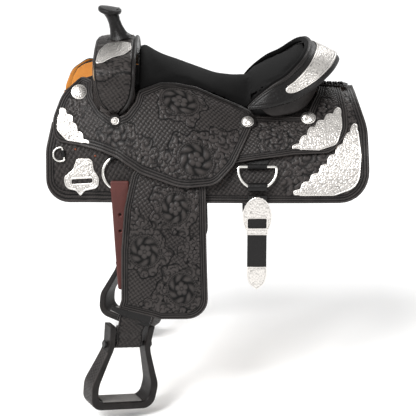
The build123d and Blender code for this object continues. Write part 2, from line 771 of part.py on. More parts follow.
top_inner = -LEATHER_PIVOT[1] + (LEATHER_PIVOT[2] - FENDER_TOP) * math.tan(lean)
skin = LEATHER_THICK / math.cos(lean)
bend_inner = FENDER_TOP - (FENDER_INNER - top_inner) / math.tan(lean)
bend_outer = FENDER_TOP - (FENDER_INNER + LEATHER_THICK - top_inner - skin) / math.tan(lean)
FENDER_BOTTOM = -466.0
FENDER_OUTLINE = [
    (-187, -150, 0), (-194, -260, 60), (-196, -380, 60), (-205, -435, 30), (-202, -465, 6),
    (-100, -466, 0), (0, -466, 62), (-2, -300, 0), (-3, -150, 0),
]
with BuildPart() as fender:
    with BuildSketch(Plane.YZ.offset(-230)):
        with BuildLine():
            Polyline(
                (-top_inner, FENDER_TOP), (-FENDER_INNER, bend_inner), (-FENDER_INNER, FENDER_BOTTOM - 10),
                (-FENDER_INNER - LEATHER_THICK, FENDER_BOTTOM - 10),
                (-FENDER_INNER - LEATHER_THICK, bend_outer), (-top_inner - skin, FENDER_TOP), close=True,
            )
        make_face()
    extrude(amount=260)
    keep_side(FENDER_OUTLINE)
write_sides(fender.part, "fender")

# The strap runs straight from the fender's top to the stirrup bolt.
STRAP_TOP = (-100, -228)
strap_down = Vector(BOLT_CENTRE[0] - STRAP_TOP[0], 0, BOLT_CENTRE[2] - STRAP_TOP[1]).normalized()
strap_face = Plane(
    origin=(STRAP_TOP[0], -STRAP_INNER, STRAP_TOP[1]),
    x_dir=Vector(-strap_down.Z, 0, strap_down.X),
    z_dir=(0, -1, 0),
)
STRAP_LENGTH = 228.0
NECK_START = 214.0
NECK_STOP = 266.0
with BuildPart() as stirrup_leather:
    with BuildSketch(strap_face):
        with Locations((0, -STRAP_LENGTH / 2 + 6)):
            Rectangle(STRAP_WIDTH, STRAP_LENGTH - 12)
    extrude(amount=LEATHER_THICK)
    with BuildSketch(strap_face):
        with Locations((0, -(NECK_START + NECK_STOP) / 2)):
            Rectangle(NECK_WIDTH, NECK_STOP - NECK_START)
    extrude(amount=2 * LEATHER_THICK - 0.4)
write_sides(stirrup_leather.part, "stirrup_leather")

HOBBLE_PLACE = 239.5
HOBBLE_HEIGHT = 20.0
HOBBLE_WALL = 2.5
with BuildPart() as hobble_strap:
    with BuildSketch(
        Plane(
            origin=strap_face.from_local_coords((0, -HOBBLE_PLACE + HOBBLE_HEIGHT / 2, LEATHER_THICK - 0.2)),
            x_dir=strap_face.x_dir,
            z_dir=strap_down,
        )
    ):
        Rectangle(NECK_WIDTH + 0.6 + 2 * HOBBLE_WALL, 2 * LEATHER_THICK + 0.2 + 2 * HOBBLE_WALL)
        Rectangle(NECK_WIDTH + 0.6, 2 * LEATHER_THICK + 0.2, mode=Mode.SUBTRACT)
    extrude(amount=HOBBLE_HEIGHT)
    add(fender.part, mode=Mode.SUBTRACT)
write_sides(hobble_strap.part, "hobble_strap")

BUCKLE_PLACE = 118.0
BUCKLE_HEIGHT = 46.0
with BuildPart() as length_buckle:
    with BuildSketch(strap_face.offset(-BUCKLE_THICK - 0.3)):
        with Locations((0, -BUCKLE_PLACE)):
            RectangleRounded(STRAP_WIDTH - 4, BUCKLE_HEIGHT, 6)
    extrude(amount=BUCKLE_THICK)
write_sides(length_buckle.part, "length_buckle")

SLEEVE_HEIGHT = 40.0
SLEEVE_PLACE = 140.0
sleeve_depth = LEATHER_THICK + BUCKLE_THICK + 0.3 + 0.8
with BuildPart() as buckle_sleeve:
    with BuildSketch(
        Plane(
            origin=strap_face.from_local_coords(
                (0, -SLEEVE_PLACE + SLEEVE_HEIGHT / 2, LEATHER_THICK + 0.4 - sleeve_depth / 2)
            ),
            x_dir=strap_face.x_dir,
            z_dir=strap_down,
        )
    ):
        Rectangle(STRAP_WIDTH + 1 + 2 * SLEEVE_WALL, sleeve_depth + 2 * SLEEVE_WALL)
        Rectangle(STRAP_WIDTH + 1, sleeve_depth, mode=Mode.SUBTRACT)
    extrude(amount=SLEEVE_HEIGHT)
write_sides(buckle_sleeve.part, "buckle_sleeve")

# ---- Stirrup, hanging turned and rolled from its bolt ----
yaw = math.radians(STIRRUP_YAW)
roll = math.radians(STIRRUP_ROLL)
flat_across = Vector(-math.cos(yaw), -math.sin(yaw), 0)
stirrup_up = Vector(0, 0, 1) * math.cos(roll) - flat_across * math.sin(roll)
stirrup_across = flat_across * math.cos(roll) + Vector(0, 0, 1) * math.sin(roll)
stirrup_face = Plane(origin=BOLT_CENTRE, x_dir=stirrup_across, z_dir=stirrup_across.cross(stirrup_up))
stirrup_side = Plane(origin=BOLT_CENTRE, x_dir=stirrup_face.z_dir, z_dir=-stirrup_across)

NECK_TOP = 42.0
NECK_LOOP_R = 12.5
with BuildPart() as neck_loop:
    with BuildSketch(stirrup_side.offset(-NECK_WIDTH / 2)):
        with BuildLine():
            rounded([
                (-LEATHER_THICK - 0.5, NECK_TOP, 1), (LEATHER_THICK + 0.5, NECK_TOP, 1),
                (NECK_LOOP_R, 6, 14), (NECK_LOOP_R, -NECK_LOOP_R, NECK_LOOP_R - 1),
                (-NECK_LOOP_R, -NECK_LOOP_R, NECK_LOOP_R - 1), (-NECK_LOOP_R, 6, 14),
            ])
        make_face()
        Circle(BOLT_R + 0.3, mode=Mode.SUBTRACT)
    extrude(amount=NECK_WIDTH)
write_sides(neck_loop.part, "neck_loop")

STIRRUP_OUTER = [
    (57, 51, 4), (52, -5, 60), (86, -95, 50), (80, -154, 42), (-80, -154, 42), (-86, -95, 50), (-52, -5, 60),
    (-57, 51, 4),
]
STIRRUP_INNER = [
    (44, 70, 0), (38.5, -5, 60), (68, -95, 60), (64, -136, 22), (-64, -136, 22), (-68, -95, 60),
    (-38.5, -5, 60), (-44, 70, 0),
]
STIRRUP_DEPTH = [
    (-19, 60, 0), (19, 60, 0), (19, 0, 60), (27, -120, 40), (27, -170, 0), (-27, -170, 0), (-27, -120, 40),
    (-19, 0, 60),
]
BOLT_HALF = 56.5
with BuildPart() as stirrup_bolt:
    with BuildSketch(stirrup_side.offset(-BOLT_HALF)):
        Circle(BOLT_R)
    extrude(amount=2 * BOLT_HALF)
    for start in (-BOLT_HALF - 4, BOLT_HALF):
        with BuildSketch(stirrup_side.offset(start)):
            RegularPolygon(9, 6)
        extrude(amount=4)
write_sides(stirrup_bolt.part, "stirrup_bolt")

with BuildPart() as stirrup:
    with BuildSketch(stirrup_face):
        with BuildLine():
            rounded(STIRRUP_OUTER)
        make_face()
        with BuildLine():
            rounded(STIRRUP_INNER)
        make_face(mode=Mode.SUBTRACT)
    extrude(amount=40, both=True)
    with BuildSketch(stirrup_side):
        with BuildLine():
            rounded(STIRRUP_DEPTH)
        make_face()
    extrude(amount=120, both=True, mode=Mode.INTERSECT)
    add(stirrup_bolt.part, mode=Mode.SUBTRACT)
write_sides(stirrup.part, "stirrup")
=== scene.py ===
import math

import bpy
import numpy as np
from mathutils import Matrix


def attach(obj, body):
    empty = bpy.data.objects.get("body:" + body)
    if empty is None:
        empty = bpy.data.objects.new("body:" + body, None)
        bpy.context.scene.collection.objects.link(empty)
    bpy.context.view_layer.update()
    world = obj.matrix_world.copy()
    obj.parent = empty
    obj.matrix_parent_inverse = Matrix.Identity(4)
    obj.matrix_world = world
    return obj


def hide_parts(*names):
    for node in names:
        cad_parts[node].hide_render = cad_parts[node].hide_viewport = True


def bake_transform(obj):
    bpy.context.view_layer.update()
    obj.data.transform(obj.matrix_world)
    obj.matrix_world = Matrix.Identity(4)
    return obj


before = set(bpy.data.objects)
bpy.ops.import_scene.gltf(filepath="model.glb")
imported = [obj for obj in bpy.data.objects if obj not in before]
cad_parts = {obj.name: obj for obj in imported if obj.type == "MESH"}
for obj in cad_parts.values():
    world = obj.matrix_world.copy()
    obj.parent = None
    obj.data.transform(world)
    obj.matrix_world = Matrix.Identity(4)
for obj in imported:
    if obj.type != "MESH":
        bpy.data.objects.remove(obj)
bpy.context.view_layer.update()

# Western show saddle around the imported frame. Lengths in this script are millimetres until a mesh is made;
# -X is the horn end, -Y the near side, +Z up. Near pieces are made and then mirrored for the off side.
MM = 0.001
NEAR, OFF = -1, 1

# ---------------------------------------------------------------- camera, light and floor
CAMERA_TARGET = (0.0, 0.0, -0.282)
CAMERA_DISTANCE = 3.6
CAMERA_ELEVATION = math.radians(18)
CAMERA_LENS = 128.8
FLOOR_HEIGHT = -0.715


def make_camera():
    data = bpy.data.cameras.new("camera")
    data.lens = CAMERA_LENS
    data.sensor_width = 36.0
    data.clip_end = 40.0
    camera = bpy.data.objects.new("camera", data)
    bpy.context.collection.objects.link(camera)
    x, y, z = CAMERA_TARGET
    back = CAMERA_DISTANCE * math.cos(CAMERA_ELEVATION)
    camera.location = (x, y - back, z + CAMERA_DISTANCE * math.sin(CAMERA_ELEVATION))
    camera.rotation_euler = (math.pi / 2 - CAMERA_ELEVATION, 0, 0)
    bpy.context.scene.camera = camera


def area_light(name, place, size, power):
    data = bpy.data.lights.new(name, "AREA")
    data.size = size
    data.energy = power
    light = bpy.data.objects.new(name, data)
    bpy.context.collection.objects.link(light)
    light.location = place
    aim = np.array(CAMERA_TARGET) - np.array(place)
    yaw = math.atan2(aim[1], aim[0]) - math.pi / 2
    pitch = math.acos(-aim[2] / np.linalg.norm(aim))
    light.rotation_euler = (pitch, 0, yaw)


def sun_light(name, pitch, yaw, strength, softness):
    data = bpy.data.lights.new(name, "SUN")
    data.energy = strength
    data.angle = math.radians(softness)
    light = bpy.data.objects.new(name, data)
    bpy.context.collection.objects.link(light)
    light.rotation_euler = (math.radians(pitch), 0, math.radians(yaw))


def make_studio():
    sun_light("key_light", 42, -36, 2.2, 26)
    area_light("glint_light", (-1.3, -2.3, 1.5), 0.45, 26)
    area_light("fill_light", (2.6, -1.8, 1.0), 1.4, 20)
    area_light("rim_light", (1.0, 2.6, 2.2), 1.4, 22)
    area_light("horn_light", (-2.6, -0.6, 1.2), 1.2, 18)
    world = bpy.data.worlds.new("studio")
    world.use_nodes = True
    world.node_tree.nodes["Background"].inputs["Color"].default_value = (1, 1, 1, 1)
    world.node_tree.nodes["Background"].inputs["Strength"].default_value = 0.66
    bpy.context.scene.world = world
    bpy.context.scene.view_settings.view_transform = "Standard"
    mesh = bpy.data.meshes.new("floor")
    half = 14.0
    mesh.from_pydata([(-half, -half, 0), (half, -half, 0), (half, half, 0), (-half, half, 0)], [], [(0, 1, 2, 3)])
    floor = bpy.data.objects.new("floor", mesh)
    floor.location = (0, 0, FLOOR_HEIGHT)
    bpy.context.collection.objects.link(floor)
    mesh.materials.append(plain_material("floor_paint", (0.93, 0.93, 0.93), 0.9))


# ---------------------------------------------------------------- materials
def plain_material(name, colour, roughness):
    material = bpy.data.materials.new(name)
    material.use_nodes = True
    shader = material.node_tree.nodes["Principled BSDF"]
    shader.inputs["Base Color"].default_value = (*colour, 1)
    shader.inputs["Roughness"].default_value = roughness
    return material


class Nodes:
    """A small helper that adds and links shader nodes."""

    def __init__(self, name):
        self.material = bpy.data.materials.new(name)
        self.material.use_nodes = True
        self.tree = self.material.node_tree
        self.shader = self.tree.nodes["Principled BSDF"]
        self.place = self.tree.nodes.new("ShaderNodeTexCoord").outputs["Object"]

    def add(self, kind, **inputs):
        node = self.tree.nodes.new(kind)
        for key, value in inputs.items():
            self.put(node, key.replace("_", " "), value)
        return node

    def put(self, node, socket, value):
        if isinstance(value, bpy.types.NodeSocket):
            self.tree.links.new(value, node.inputs[socket])
        else:
            node.inputs[socket].default_value = value

    def noise(self, scale, detail=3.0, roughness=0.6, vector=None):
        node = self.add("ShaderNodeTexNoise", Scale=scale, Detail=detail, Roughness=roughness)
        self.put(node, "Vector", vector or self.place)
        return node.outputs["Fac"]

    def cells(self, scale, feature="F1"):
        node = self.add("ShaderNodeTexVoronoi", Scale=scale, Vector=self.place)
        node.feature = feature
        return node.outputs["Distance"]

    def attribute(self, name):
        node = self.tree.nodes.new("ShaderNodeAttribute")
        node.attribute_name = name
        return node.outputs["Fac"]

    def ramp(self, value, stops):
        node = self.tree.nodes.new("ShaderNodeValToRGB")
        self.tree.links.new(value, node.inputs["Fac"])
        ramp = node.color_ramp
        while len(ramp.elements) < len(stops):
            ramp.elements.new(0.5)
        for element, (position, colour) in zip(ramp.elements, stops):
            element.position = position
            element.color = (*colour, 1)
        return node.outputs["Color"]

    def math(self, operation, a, b):
        node = self.tree.nodes.new("ShaderNodeMath")
        node.operation = operation
        for index, value in enumerate((a, b)):
            if isinstance(value, bpy.types.NodeSocket):
                self.tree.links.new(value, node.inputs[index])
            else:
                node.inputs[index].default_value = value
        return node.outputs["Value"]

    def mix(self, factor, a, b, blend="MIX"):
        node = self.tree.nodes.new("ShaderNodeMix")
        node.data_type = "RGBA"
        node.blend_type = blend
        for socket, value in ((0, factor), (6, a), (7, b)):
            if isinstance(value, bpy.types.NodeSocket):
                self.tree.links.new(value, node.inputs[socket])
            else:
                node.inputs[socket].default_value = (*value, 1) if isinstance(value, tuple) else value
        return node.outputs[2]

    def spread(self, value, low, high):
        node = self.add("ShaderNodeMapRange", Value=value, To_Min=low, To_Max=high)
        return node.outputs["Result"]

    def bump(self, height, strength, distance):
        node = self.add("ShaderNodeBump", Height=height, Strength=strength, Distance=distance)
        self.tree.links.new(node.outputs["Normal"], self.shader.inputs["Normal"])


def leather_material(name, recess, ridge, rough=(0.48, 0.22), grain=700.0, gloss=0.15):
    """Oiled leather: painted shade (darker colour) in the tooled recesses, a painted highlight (lighter colour) and
    more shine on the ridges, with a fine pore grain.
    """
    n = Nodes(name)
    tool = n.attribute("tool")
    # tool level plus noise: low in the recesses, where the colour is painted shade, high on the ridges, where it is a
    # painted highlight
    relief_shade_highlight = n.math("ADD", tool, n.spread(n.noise(45.0, 4.0), -0.22, 0.22))
    middle = tuple((a + b) / 2 for a, b in zip(recess, ridge))
    colour = n.ramp(relief_shade_highlight, [(0.15, recess), (0.52, middle), (0.9, ridge)])
    mottled = n.mix(n.spread(n.noise(14.0, 5.0), 0.0, 0.35), colour, recess)
    n.put(n.shader, "Base Color", mottled)
    shine = n.math("ADD", n.spread(relief_shade_highlight, *rough), n.spread(n.noise(160.0, 3.0), -0.07, 0.09))
    n.put(n.shader, "Roughness", shine)
    n.shader.inputs["Specular IOR Level"].default_value = gloss
    pores = n.cells(grain)
    wrinkles = n.noise(grain * 0.45, 5.0, 0.7)
    n.bump(n.math("ADD", pores, wrinkles), 0.28, 0.0006)
    return n.material


def suede_material(name, dark, nap):
    n = Nodes(name)
    brushed = n.noise(38.0, 6.0, 0.72)
    fibres = n.noise(1500.0, 2.0, 0.6)
    colour = n.mix(n.spread(brushed, 0.0, 1.0), dark, nap)
    n.put(n.shader, "Base Color", n.mix(n.spread(fibres, 0.0, 0.5), colour, dark))
    n.put(n.shader, "Roughness", n.spread(brushed, 0.98, 0.86))
    n.shader.inputs["Sheen Weight"].default_value = 0.03
    n.shader.inputs["Sheen Roughness"].default_value = 0.6
    n.shader.inputs["Specular IOR Level"].default_value = 0.06
    n.bump(n.math("ADD", fibres, brushed), 0.35, 0.0008)
    return n.material


def silver_material(name, bright, dark, engraving=1.0):
    """Engraved German silver: bright ridges, antiqued dark lines, cross-hatched ground."""
    n = Nodes(name)
    tool = n.attribute("tool")
    tarnish = n.noise(60.0, 4.0)
    lines = n.cells(420.0, "DISTANCE_TO_EDGE")
    height = n.math("ADD", tool, n.math("MULTIPLY", lines, 0.9 * engraving))
    colour = n.ramp(
        n.math("ADD", height, n.spread(tarnish, -0.15, 0.15)),
        [(0.18, dark), (0.48, tuple(0.66 * c for c in bright)), (0.85, bright)],
    )
    n.put(n.shader, "Base Color", colour)
    n.shader.inputs["Metallic"].default_value = 1.0
    n.put(n.shader, "Roughness", n.spread(tarnish, 0.22, 0.42))
    n.bump(height, 0.35 * engraving, 0.0006)
    return n.material


def steel_material(name, colour, roughness):
    n = Nodes(name)
    wear = n.noise(90.0, 4.0)
    n.put(n.shader, "Base Color", n.mix(n.spread(wear, 0.0, 0.35), colour, tuple(c * 0.6 for c in colour)))
    n.shader.inputs["Metallic"].default_value = 1.0
    n.put(n.shader, "Roughness", n.spread(wear, roughness, roughness + 0.18))
    n.bump(n.noise(700.0, 3.0), 0.08, 0.0004)
    return n.material


def fleece_material(name):
    n = Nodes(name)
    curls = n.cells(110.0)
    fibres = n.noise(500.0, 4.0, 0.7)
    # curl middles lighter, the low gaps between the curls darker: the darkening in the gaps is painted shade
    shade = n.math("ADD", curls, n.spread(fibres, -0.2, 0.3))
    n.put(n.shader, "Base Color", n.ramp(shade, [(0.0, (0.86, 0.81, 0.70)), (0.9, (0.52, 0.44, 0.33))]))
    n.shader.inputs["Roughness"].default_value = 0.95
    n.shader.inputs["Sheen Weight"].default_value = 0.4
    n.bump(n.math("SUBTRACT", fibres, curls), 0.8, 0.003)
    return n.material


def flesh_material(name):
    """The undyed flesh side of the leather."""
    n = Nodes(name)
    blotch = n.noise(26.0, 5.0, 0.6)
    fibres = n.noise(620.0, 4.0, 0.75)
    colour = n.mix(n.spread(blotch, 0.0, 1.0), (0.78, 0.33, 0.05), (0.60, 0.20, 0.025))
    n.put(n.shader, "Base Color", n.mix(n.spread(fibres, 0.0, 0.3), colour, (0.35, 0.12, 0.02)))
    n.shader.inputs["Roughness"].default_value = 0.82
    n.bump(fibres, 0.4, 0.0008)
    return n.material


def wood_material(name):
    n = Nodes(name)
    wave = n.add("ShaderNodeTexWave", Scale=30.0, Distortion=6.0, Detail=3.0, Vector=n.place)
    n.put(n.shader, "Base Color", n.ramp(wave.outputs["Fac"], [(0.1, (0.34, 0.21, 0.10)), (0.9, (0.52, 0.36, 0.20))]))
    n.shader.inputs["Roughness"].default_value = 0.6
    n.bump(wave.outputs["Fac"], 0.2, 0.001)
    return n.material


# Leather colours, here and in make_materials: the first, darker colour is painted shade in the tooled recesses, the
# second, lighter one a painted highlight on the ridges
BLACK_RECESS = (0.0006, 0.0005, 0.0005)
BLACK_RIDGE = (0.048, 0.042, 0.040)
MATERIAL = {}


def make_materials():
    MATERIAL.update(
        black=leather_material("black_tooled_leather", BLACK_RECESS, BLACK_RIDGE),
        smooth=leather_material(
            "black_smooth_leather", (0.003, 0.0028, 0.0028), (0.011, 0.010, 0.0098), (0.36, 0.22), 900.0, 0.22
        ),
        edge=leather_material(
            "black_burnished_edge", (0.002, 0.002, 0.002), (0.022, 0.019, 0.018), (0.40, 0.28), 700.0, 0.18
        ),
        latigo=leather_material(
            "oxblood_latigo_leather", (0.028, 0.006, 0.005), (0.115, 0.026, 0.020), (0.55, 0.42), 700.0, 0.36
        ),
        suede=suede_material("black_suede", (0.0010, 0.0010, 0.0010), (0.0040, 0.0038, 0.0038)),
        silver=silver_material("engraved_silver", (0.74, 0.71, 0.675), (0.045, 0.036, 0.030)),
        polished=silver_material("polished_silver", (0.80, 0.78, 0.75), (0.30, 0.27, 0.24), 0.25),
        steel=steel_material("nickel_steel", (0.82, 0.80, 0.76), 0.16),
        core=steel_material("blackened_steel", (0.06, 0.06, 0.06), 0.40),
        fleece=fleece_material("natural_fleece"),
        flesh=flesh_material("leather_flesh_side"),
        wood=wood_material("rawhide_wood"),
        thread=leather_material("black_thread", (0.006, 0.006, 0.006), (0.05, 0.047, 0.045), (0.6, 0.5)),
    )


# ---------------------------------------------------------------- side form of the skirts
FORM_X = (-400, -300, -60, 40, 120, 260, 400)
FORM_VALUES = (
    (218, 460, 112), (218, 460, 112), (230, 337, 50), (234, 285, 12), (238, 282, 12), (240, 287, 18), (240, 287, 18),
)
FORM_BLUR = 30.0
ROUND = 300.0


def smooth_form():
    """The form's three columns, linear between stations and then blurred along x."""
    xs = np.arange(-460.0, 461.0, 2.0)
    offsets = np.arange(-45, 46) * 2.0
    kernel = np.exp(-0.5 * (offsets / FORM_BLUR) ** 2)
    kernel /= kernel.sum()
    columns = []
    for k in range(3):
        line = np.interp(xs, FORM_X, [row[k] for row in FORM_VALUES])
        padded = np.concatenate([np.full(45, line[0]), line, np.full(45, line[-1])])
        columns.append(np.convolve(padded, kernel, "valid"))
    return xs, columns


FORM_GRID, FORM_COLUMNS = smooth_form()


def form(x):
    return [np.interp(x, FORM_GRID, column) for column in FORM_COLUMNS]


def over_at(over, x):
    """Offset over the skirt at x, from a number or a {x: value} table."""
    if isinstance(over, dict):
        keys = sorted(over)
        return np.interp(x, keys, [over[k] for k in keys])
    return np.full(np.shape(x), float(over))


def on_side(x, v, over):
    """Points on the near side, v = ROUND times the angle down from the crest."""
    half, drop, crest = form(x)
    lift = over_at(over, x)
    angle = v / ROUND
    y = -(half + lift) * np.sin(angle)
    z = crest - drop + (drop + lift) * np.cos(angle)
    return np.stack([x, y, z], -1)


def drop_of(x, z, over):
    """The v of a point at height z on the surface over the skirt."""
    _, drop, crest = form(x)
    lift = over_at(over, x)
    cosine = np.clip((z - crest + drop) / (drop + lift), -1, 1)
    return ROUND * np.arccos(cosine)


def side_normals(x, v, over):
    step = 0.5
    along = on_side(x + step, v, over) - on_side(x - step, v, over)
    down = on_side(x, v + step, over) - on_side(x, v - step, over)
    normal = np.cross(down, along)
    normal /= np.linalg.norm(normal, axis=-1, keepdims=True)
    return normal


# ---------------------------------------------------------------- outlines and filled sheets
def rounded(corners, spacing=3.0):
    """Closed outline through (u, v, radius) corners with tangent arcs, as evenly spaced points."""
    points = [np.array(c[:2], float) for c in corners]
    count = len(points)
    path = []
    for i, corner in enumerate(corners):
        before = points[i - 1] - points[i]
        after = points[(i + 1) % count] - points[i]
        a, b = np.linalg.norm(before), np.linalg.norm(after)
        before, after = before / a, after / b
        half = math.acos(float(np.clip(before @ after, -1, 1))) / 2
        cut = min(corner[2] / math.tan(half), 0.45 * min(a, b)) if corner[2] else 0.0
        if cut < 0.05:
            path.append(points[i])
            continue
        radius = cut * math.tan(half)
        inward = (before + after) / np.linalg.norm(before + after)
        centre = points[i] + inward * radius / math.sin(half)
        start, stop = points[i] + before * cut - centre, points[i] + after * cut - centre
        sweep = math.pi - 2 * half
        turn = 1 if np.cross(start, stop) > 0 else -1
        for k in range(9):
            angle = turn * sweep * k / 8
            c, s = math.cos(angle), math.sin(angle)
            path.append(centre + np.array([c * start[0] - s * start[1], s * start[0] + c * start[1]]))
    return even(np.array(path), spacing)


def even(path, spacing, closed=True):
    """The same path with points about `spacing` apart, keeping its corners."""
    out = []
    last = len(path) if closed else len(path) - 1
    for i in range(last):
        a, b = path[i], path[(i + 1) % len(path)]
        pieces = max(1, int(round(np.linalg.norm(b - a) / spacing)))
        for k in range(pieces):
            out.append(a + (b - a) * k / pieces)
    if not closed:
        out.append(path[-1])
    return np.array(out)


def edge_distance(points, outlines):
    """Distance inside the outlines (negative outside, holes included) and the nearest point on them."""
    a = np.concatenate(outlines)
    b = np.concatenate([np.roll(o, -1, axis=0) for o in outlines])
    edge = b - a
    length2 = np.maximum((edge**2).sum(1), 1e-9)
    rise = np.where(np.abs(edge[:, 1]) < 1e-9, 1e-9, edge[:, 1])
    distance = np.empty(len(points))
    nearest = np.empty_like(points)
    for start in range(0, len(points), 3000):
        p = points[start : start + 3000, None, :]
        t = np.clip(((p - a) * edge).sum(-1) / length2, 0, 1)
        foot = a + t[..., None] * edge
        gap = ((p - foot) ** 2).sum(-1)
        best = gap.argmin(1)
        rows = np.arange(len(best))
        crossing = (a[:, 1] > p[..., 1]) != (b[:, 1] > p[..., 1])
        hit = p[..., 0] < a[:, 0] + (p[..., 1] - a[:, 1]) * edge[:, 0] / rise
        inside = (crossing & hit).sum(1) % 2 == 1
        distance[start : start + 3000] = np.sqrt(gap[rows, best]) * np.where(inside, 1, -1)
        nearest[start : start + 3000] = foot[rows, best]
    return distance, nearest


def fill(outlines, step):
    """Grid of quads and triangles inside the outlines, its border moved onto them."""
    low, high = outlines[0].min(0) - step, outlines[0].max(0) + step
    nu, nv = (np.ceil((high - low) / step).astype(int) + 1).tolist()
    u, v = np.meshgrid(low[0] + step * np.arange(nu), low[1] + step * np.arange(nv), indexing="ij")
    points = np.stack([u.ravel(), v.ravel()], -1)
    distance, nearest = edge_distance(points, outlines)
    use = (distance > -0.45 * step).reshape(nu, nv)
    index = np.arange(nu * nv).reshape(nu, nv)
    corner = np.stack([index[:-1, :-1], index[1:, :-1], index[1:, 1:], index[:-1, 1:]], -1).reshape(-1, 4)
    good = np.stack([use[:-1, :-1], use[1:, :-1], use[1:, 1:], use[:-1, 1:]], -1).reshape(-1, 4)
    quads = corner[good.all(1)]
    three = good.sum(1) == 3
    triangles = corner[three][good[three]].reshape(-1, 3)
    used = np.unique(np.concatenate([quads.ravel(), triangles.ravel()]))
    new = np.full(nu * nv, -1)
    new[used] = np.arange(len(used))
    quads, triangles = new[quads], new[triangles]
    points, distance, nearest = points[used], distance[used], nearest[used]
    rim = border(quads, triangles)
    on_rim = np.unique(rim.ravel())
    points[on_rim] = nearest[on_rim]
    distance[on_rim] = 0
    return points, np.maximum(distance, 0), quads, triangles, rim


def border(quads, triangles):
    """Directed edges used by one face only."""
    edges = np.concatenate(
        [np.stack([f[:, i], f[:, (i + 1) % f.shape[1]]], -1) for f in (quads, triangles) for i in range(f.shape[1])]
    )
    key = np.sort(edges, axis=1)
    _, inverse, counts = np.unique(key, axis=0, return_inverse=True, return_counts=True)
    return edges[counts[inverse.ravel()] == 1]


def make_mesh(name, points, groups, tool=None, smooth=True):
    """Object from millimetre points and (faces, material) groups."""
    mesh = bpy.data.meshes.new(name)
    mesh.vertices.add(len(points))
    mesh.vertices.foreach_set("co", (np.asarray(points, float) * MM).astype(np.float32).ravel())
    loops, starts, materials, at = [], [], [], 0
    names = []
    for faces, material in groups:
        faces = np.asarray(faces)
        if not len(faces):
            continue
        if material not in names:
            names.append(material)
            mesh.materials.append(MATERIAL[material])
        loops.append(faces.ravel())
        starts.append(at + np.arange(len(faces)) * faces.shape[1])
        materials.append(np.full(len(faces), names.index(material)))
        at += faces.size
    mesh.loops.add(at)
    mesh.loops.foreach_set("vertex_index", np.concatenate(loops).astype(np.int32))
    starts = np.concatenate(starts).astype(np.int32)
    mesh.polygons.add(len(starts))
    mesh.polygons.foreach_set("loop_start", starts)
    mesh.polygons.foreach_set("material_index", np.concatenate(materials).astype(np.int32))
    mesh.polygons.foreach_set("use_smooth", np.full(len(starts), smooth))
    mesh.update(calc_edges=True)
    # tool: relief level, 0 in recesses to 1 on ridges; the leather materials paint shade from it in the recesses and a
    # highlight on the ridges
    shade = mesh.attributes.new("tool", "FLOAT", "POINT")
    shade.data.foreach_set("value", np.full(len(points), 0.5, np.float32) if tool is None else tool.astype(np.float32))
    mesh.validate()
    piece = bpy.data.objects.new(name, mesh)
    bpy.context.collection.objects.link(piece)
    return piece


def flipped(points, groups, side):
    """Mirror near-side geometry when side is OFF."""
    if side == NEAR:
        return points, groups
    return points * np.array([1, -1, 1]), [(np.asarray(f)[:, ::-1], m) for f, m in groups]


def side_name(side):
    return "near" if side == NEAR else "off"


def finish_piece(piece, body, nodes=()):
    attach(piece, body)
    if nodes:
        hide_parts(*nodes)
    return piece


def sheet_geometry(outlines, place, normals, thick, relief, step, top="black", under="flesh", edge="edge"):
    """A leather or metal sheet: place(uv) gives its under face, normals(uv) the outward direction."""
    uv, distance, quads, triangles, rim = fill(outlines, step)
    base = place(uv)
    out = normals(uv)
    height, tool = relief(uv, distance)
    bevel = np.clip(distance / min(2.2, thick * 0.6), 0, 1)
    crown = thick * (0.72 + 0.28 * np.sqrt(1 - (1 - bevel) ** 2))
    upper = base + out * (crown + height * np.clip(distance / 3.0, 0, 1))[:, None]
    count = len(uv)
    points = np.concatenate([upper, base])
    groups = [
        (quads, top), (triangles, top), (quads[:, ::-1] + count, under), (triangles[:, ::-1] + count, under),
        (np.stack([rim[:, 1], rim[:, 0], rim[:, 0] + count, rim[:, 1] + count], -1), edge),
    ]
    centre = len(quads) // 2
    a, b, c = upper[quads[centre][0]], upper[quads[centre][1]], upper[quads[centre][2]]
    if np.dot(np.cross(b - a, c - a), out[quads[centre][0]]) < 0:
        groups = [(f[:, ::-1], m) for f, m in groups]
    return points, groups, np.concatenate([tool, np.full(count, 0.45)])


def on_form(outline_xz, over):
    """An (x, z) outline as (x, v) on the surface over the skirt."""
    return np.stack([outline_xz[:, 0], drop_of(outline_xz[:, 0], outline_xz[:, 1], over)], -1)


def side_sheet(outlines, over, thick, relief, step, **finish):
    """Sheet on the near side, its outlines given in (x, v) on the surface over the skirt."""
    return sheet_geometry(
        outlines,
        lambda uv: on_side(uv[:, 0], uv[:, 1], over),
        lambda uv: side_normals(uv[:, 0], uv[:, 1], over),
        thick, relief, step, **finish,
    )


def put_sides(name, geometry, bodies=("saddle", "saddle"), nodes=(), sides=(NEAR, OFF)):
    """Make the near piece and its mirror; {side} in node names is filled in. Returns the pieces."""
    points, groups, tool = geometry
    made = []
    for side in sides:
        word = side_name(side)
        p, g = flipped(points, groups, side)
        piece = make_mesh(f"{word}_{name}", p, g, tool)
        finish_piece(piece, bodies[0 if side == NEAR else 1], [n.replace("{side}", word) for n in nodes])
        made.append(piece)
    return made


# ---------------------------------------------------------------- tooling patterns (heights 0 to 1)
def soft_step(x, low, high):
    t = np.clip((x - low) / (high - low), 0, 1)
    return t * t * (3 - 2 * t)


def basket(u, v, pitch=8.5, turn=0.62):
    """Basket-weave stamping: strands that run one way and the other in turn."""
    c, s = math.cos(turn), math.sin(turn)
    p, q = (c * u + s * v) / pitch, (-s * u + c * v) / pitch
    i, j = np.floor(p), np.floor(q)
    swap = (i + j) % 2 == 1
    across = np.where(swap, q - j, p - i)
    along = np.where(swap, p - i, q - j)
    return np.sin(np.pi * across) ** 0.55 * (
        0.55 + 0.45 * np.sin(np.pi * along) ** 0.5 * np.abs(np.cos(2 * np.pi * across))
    )


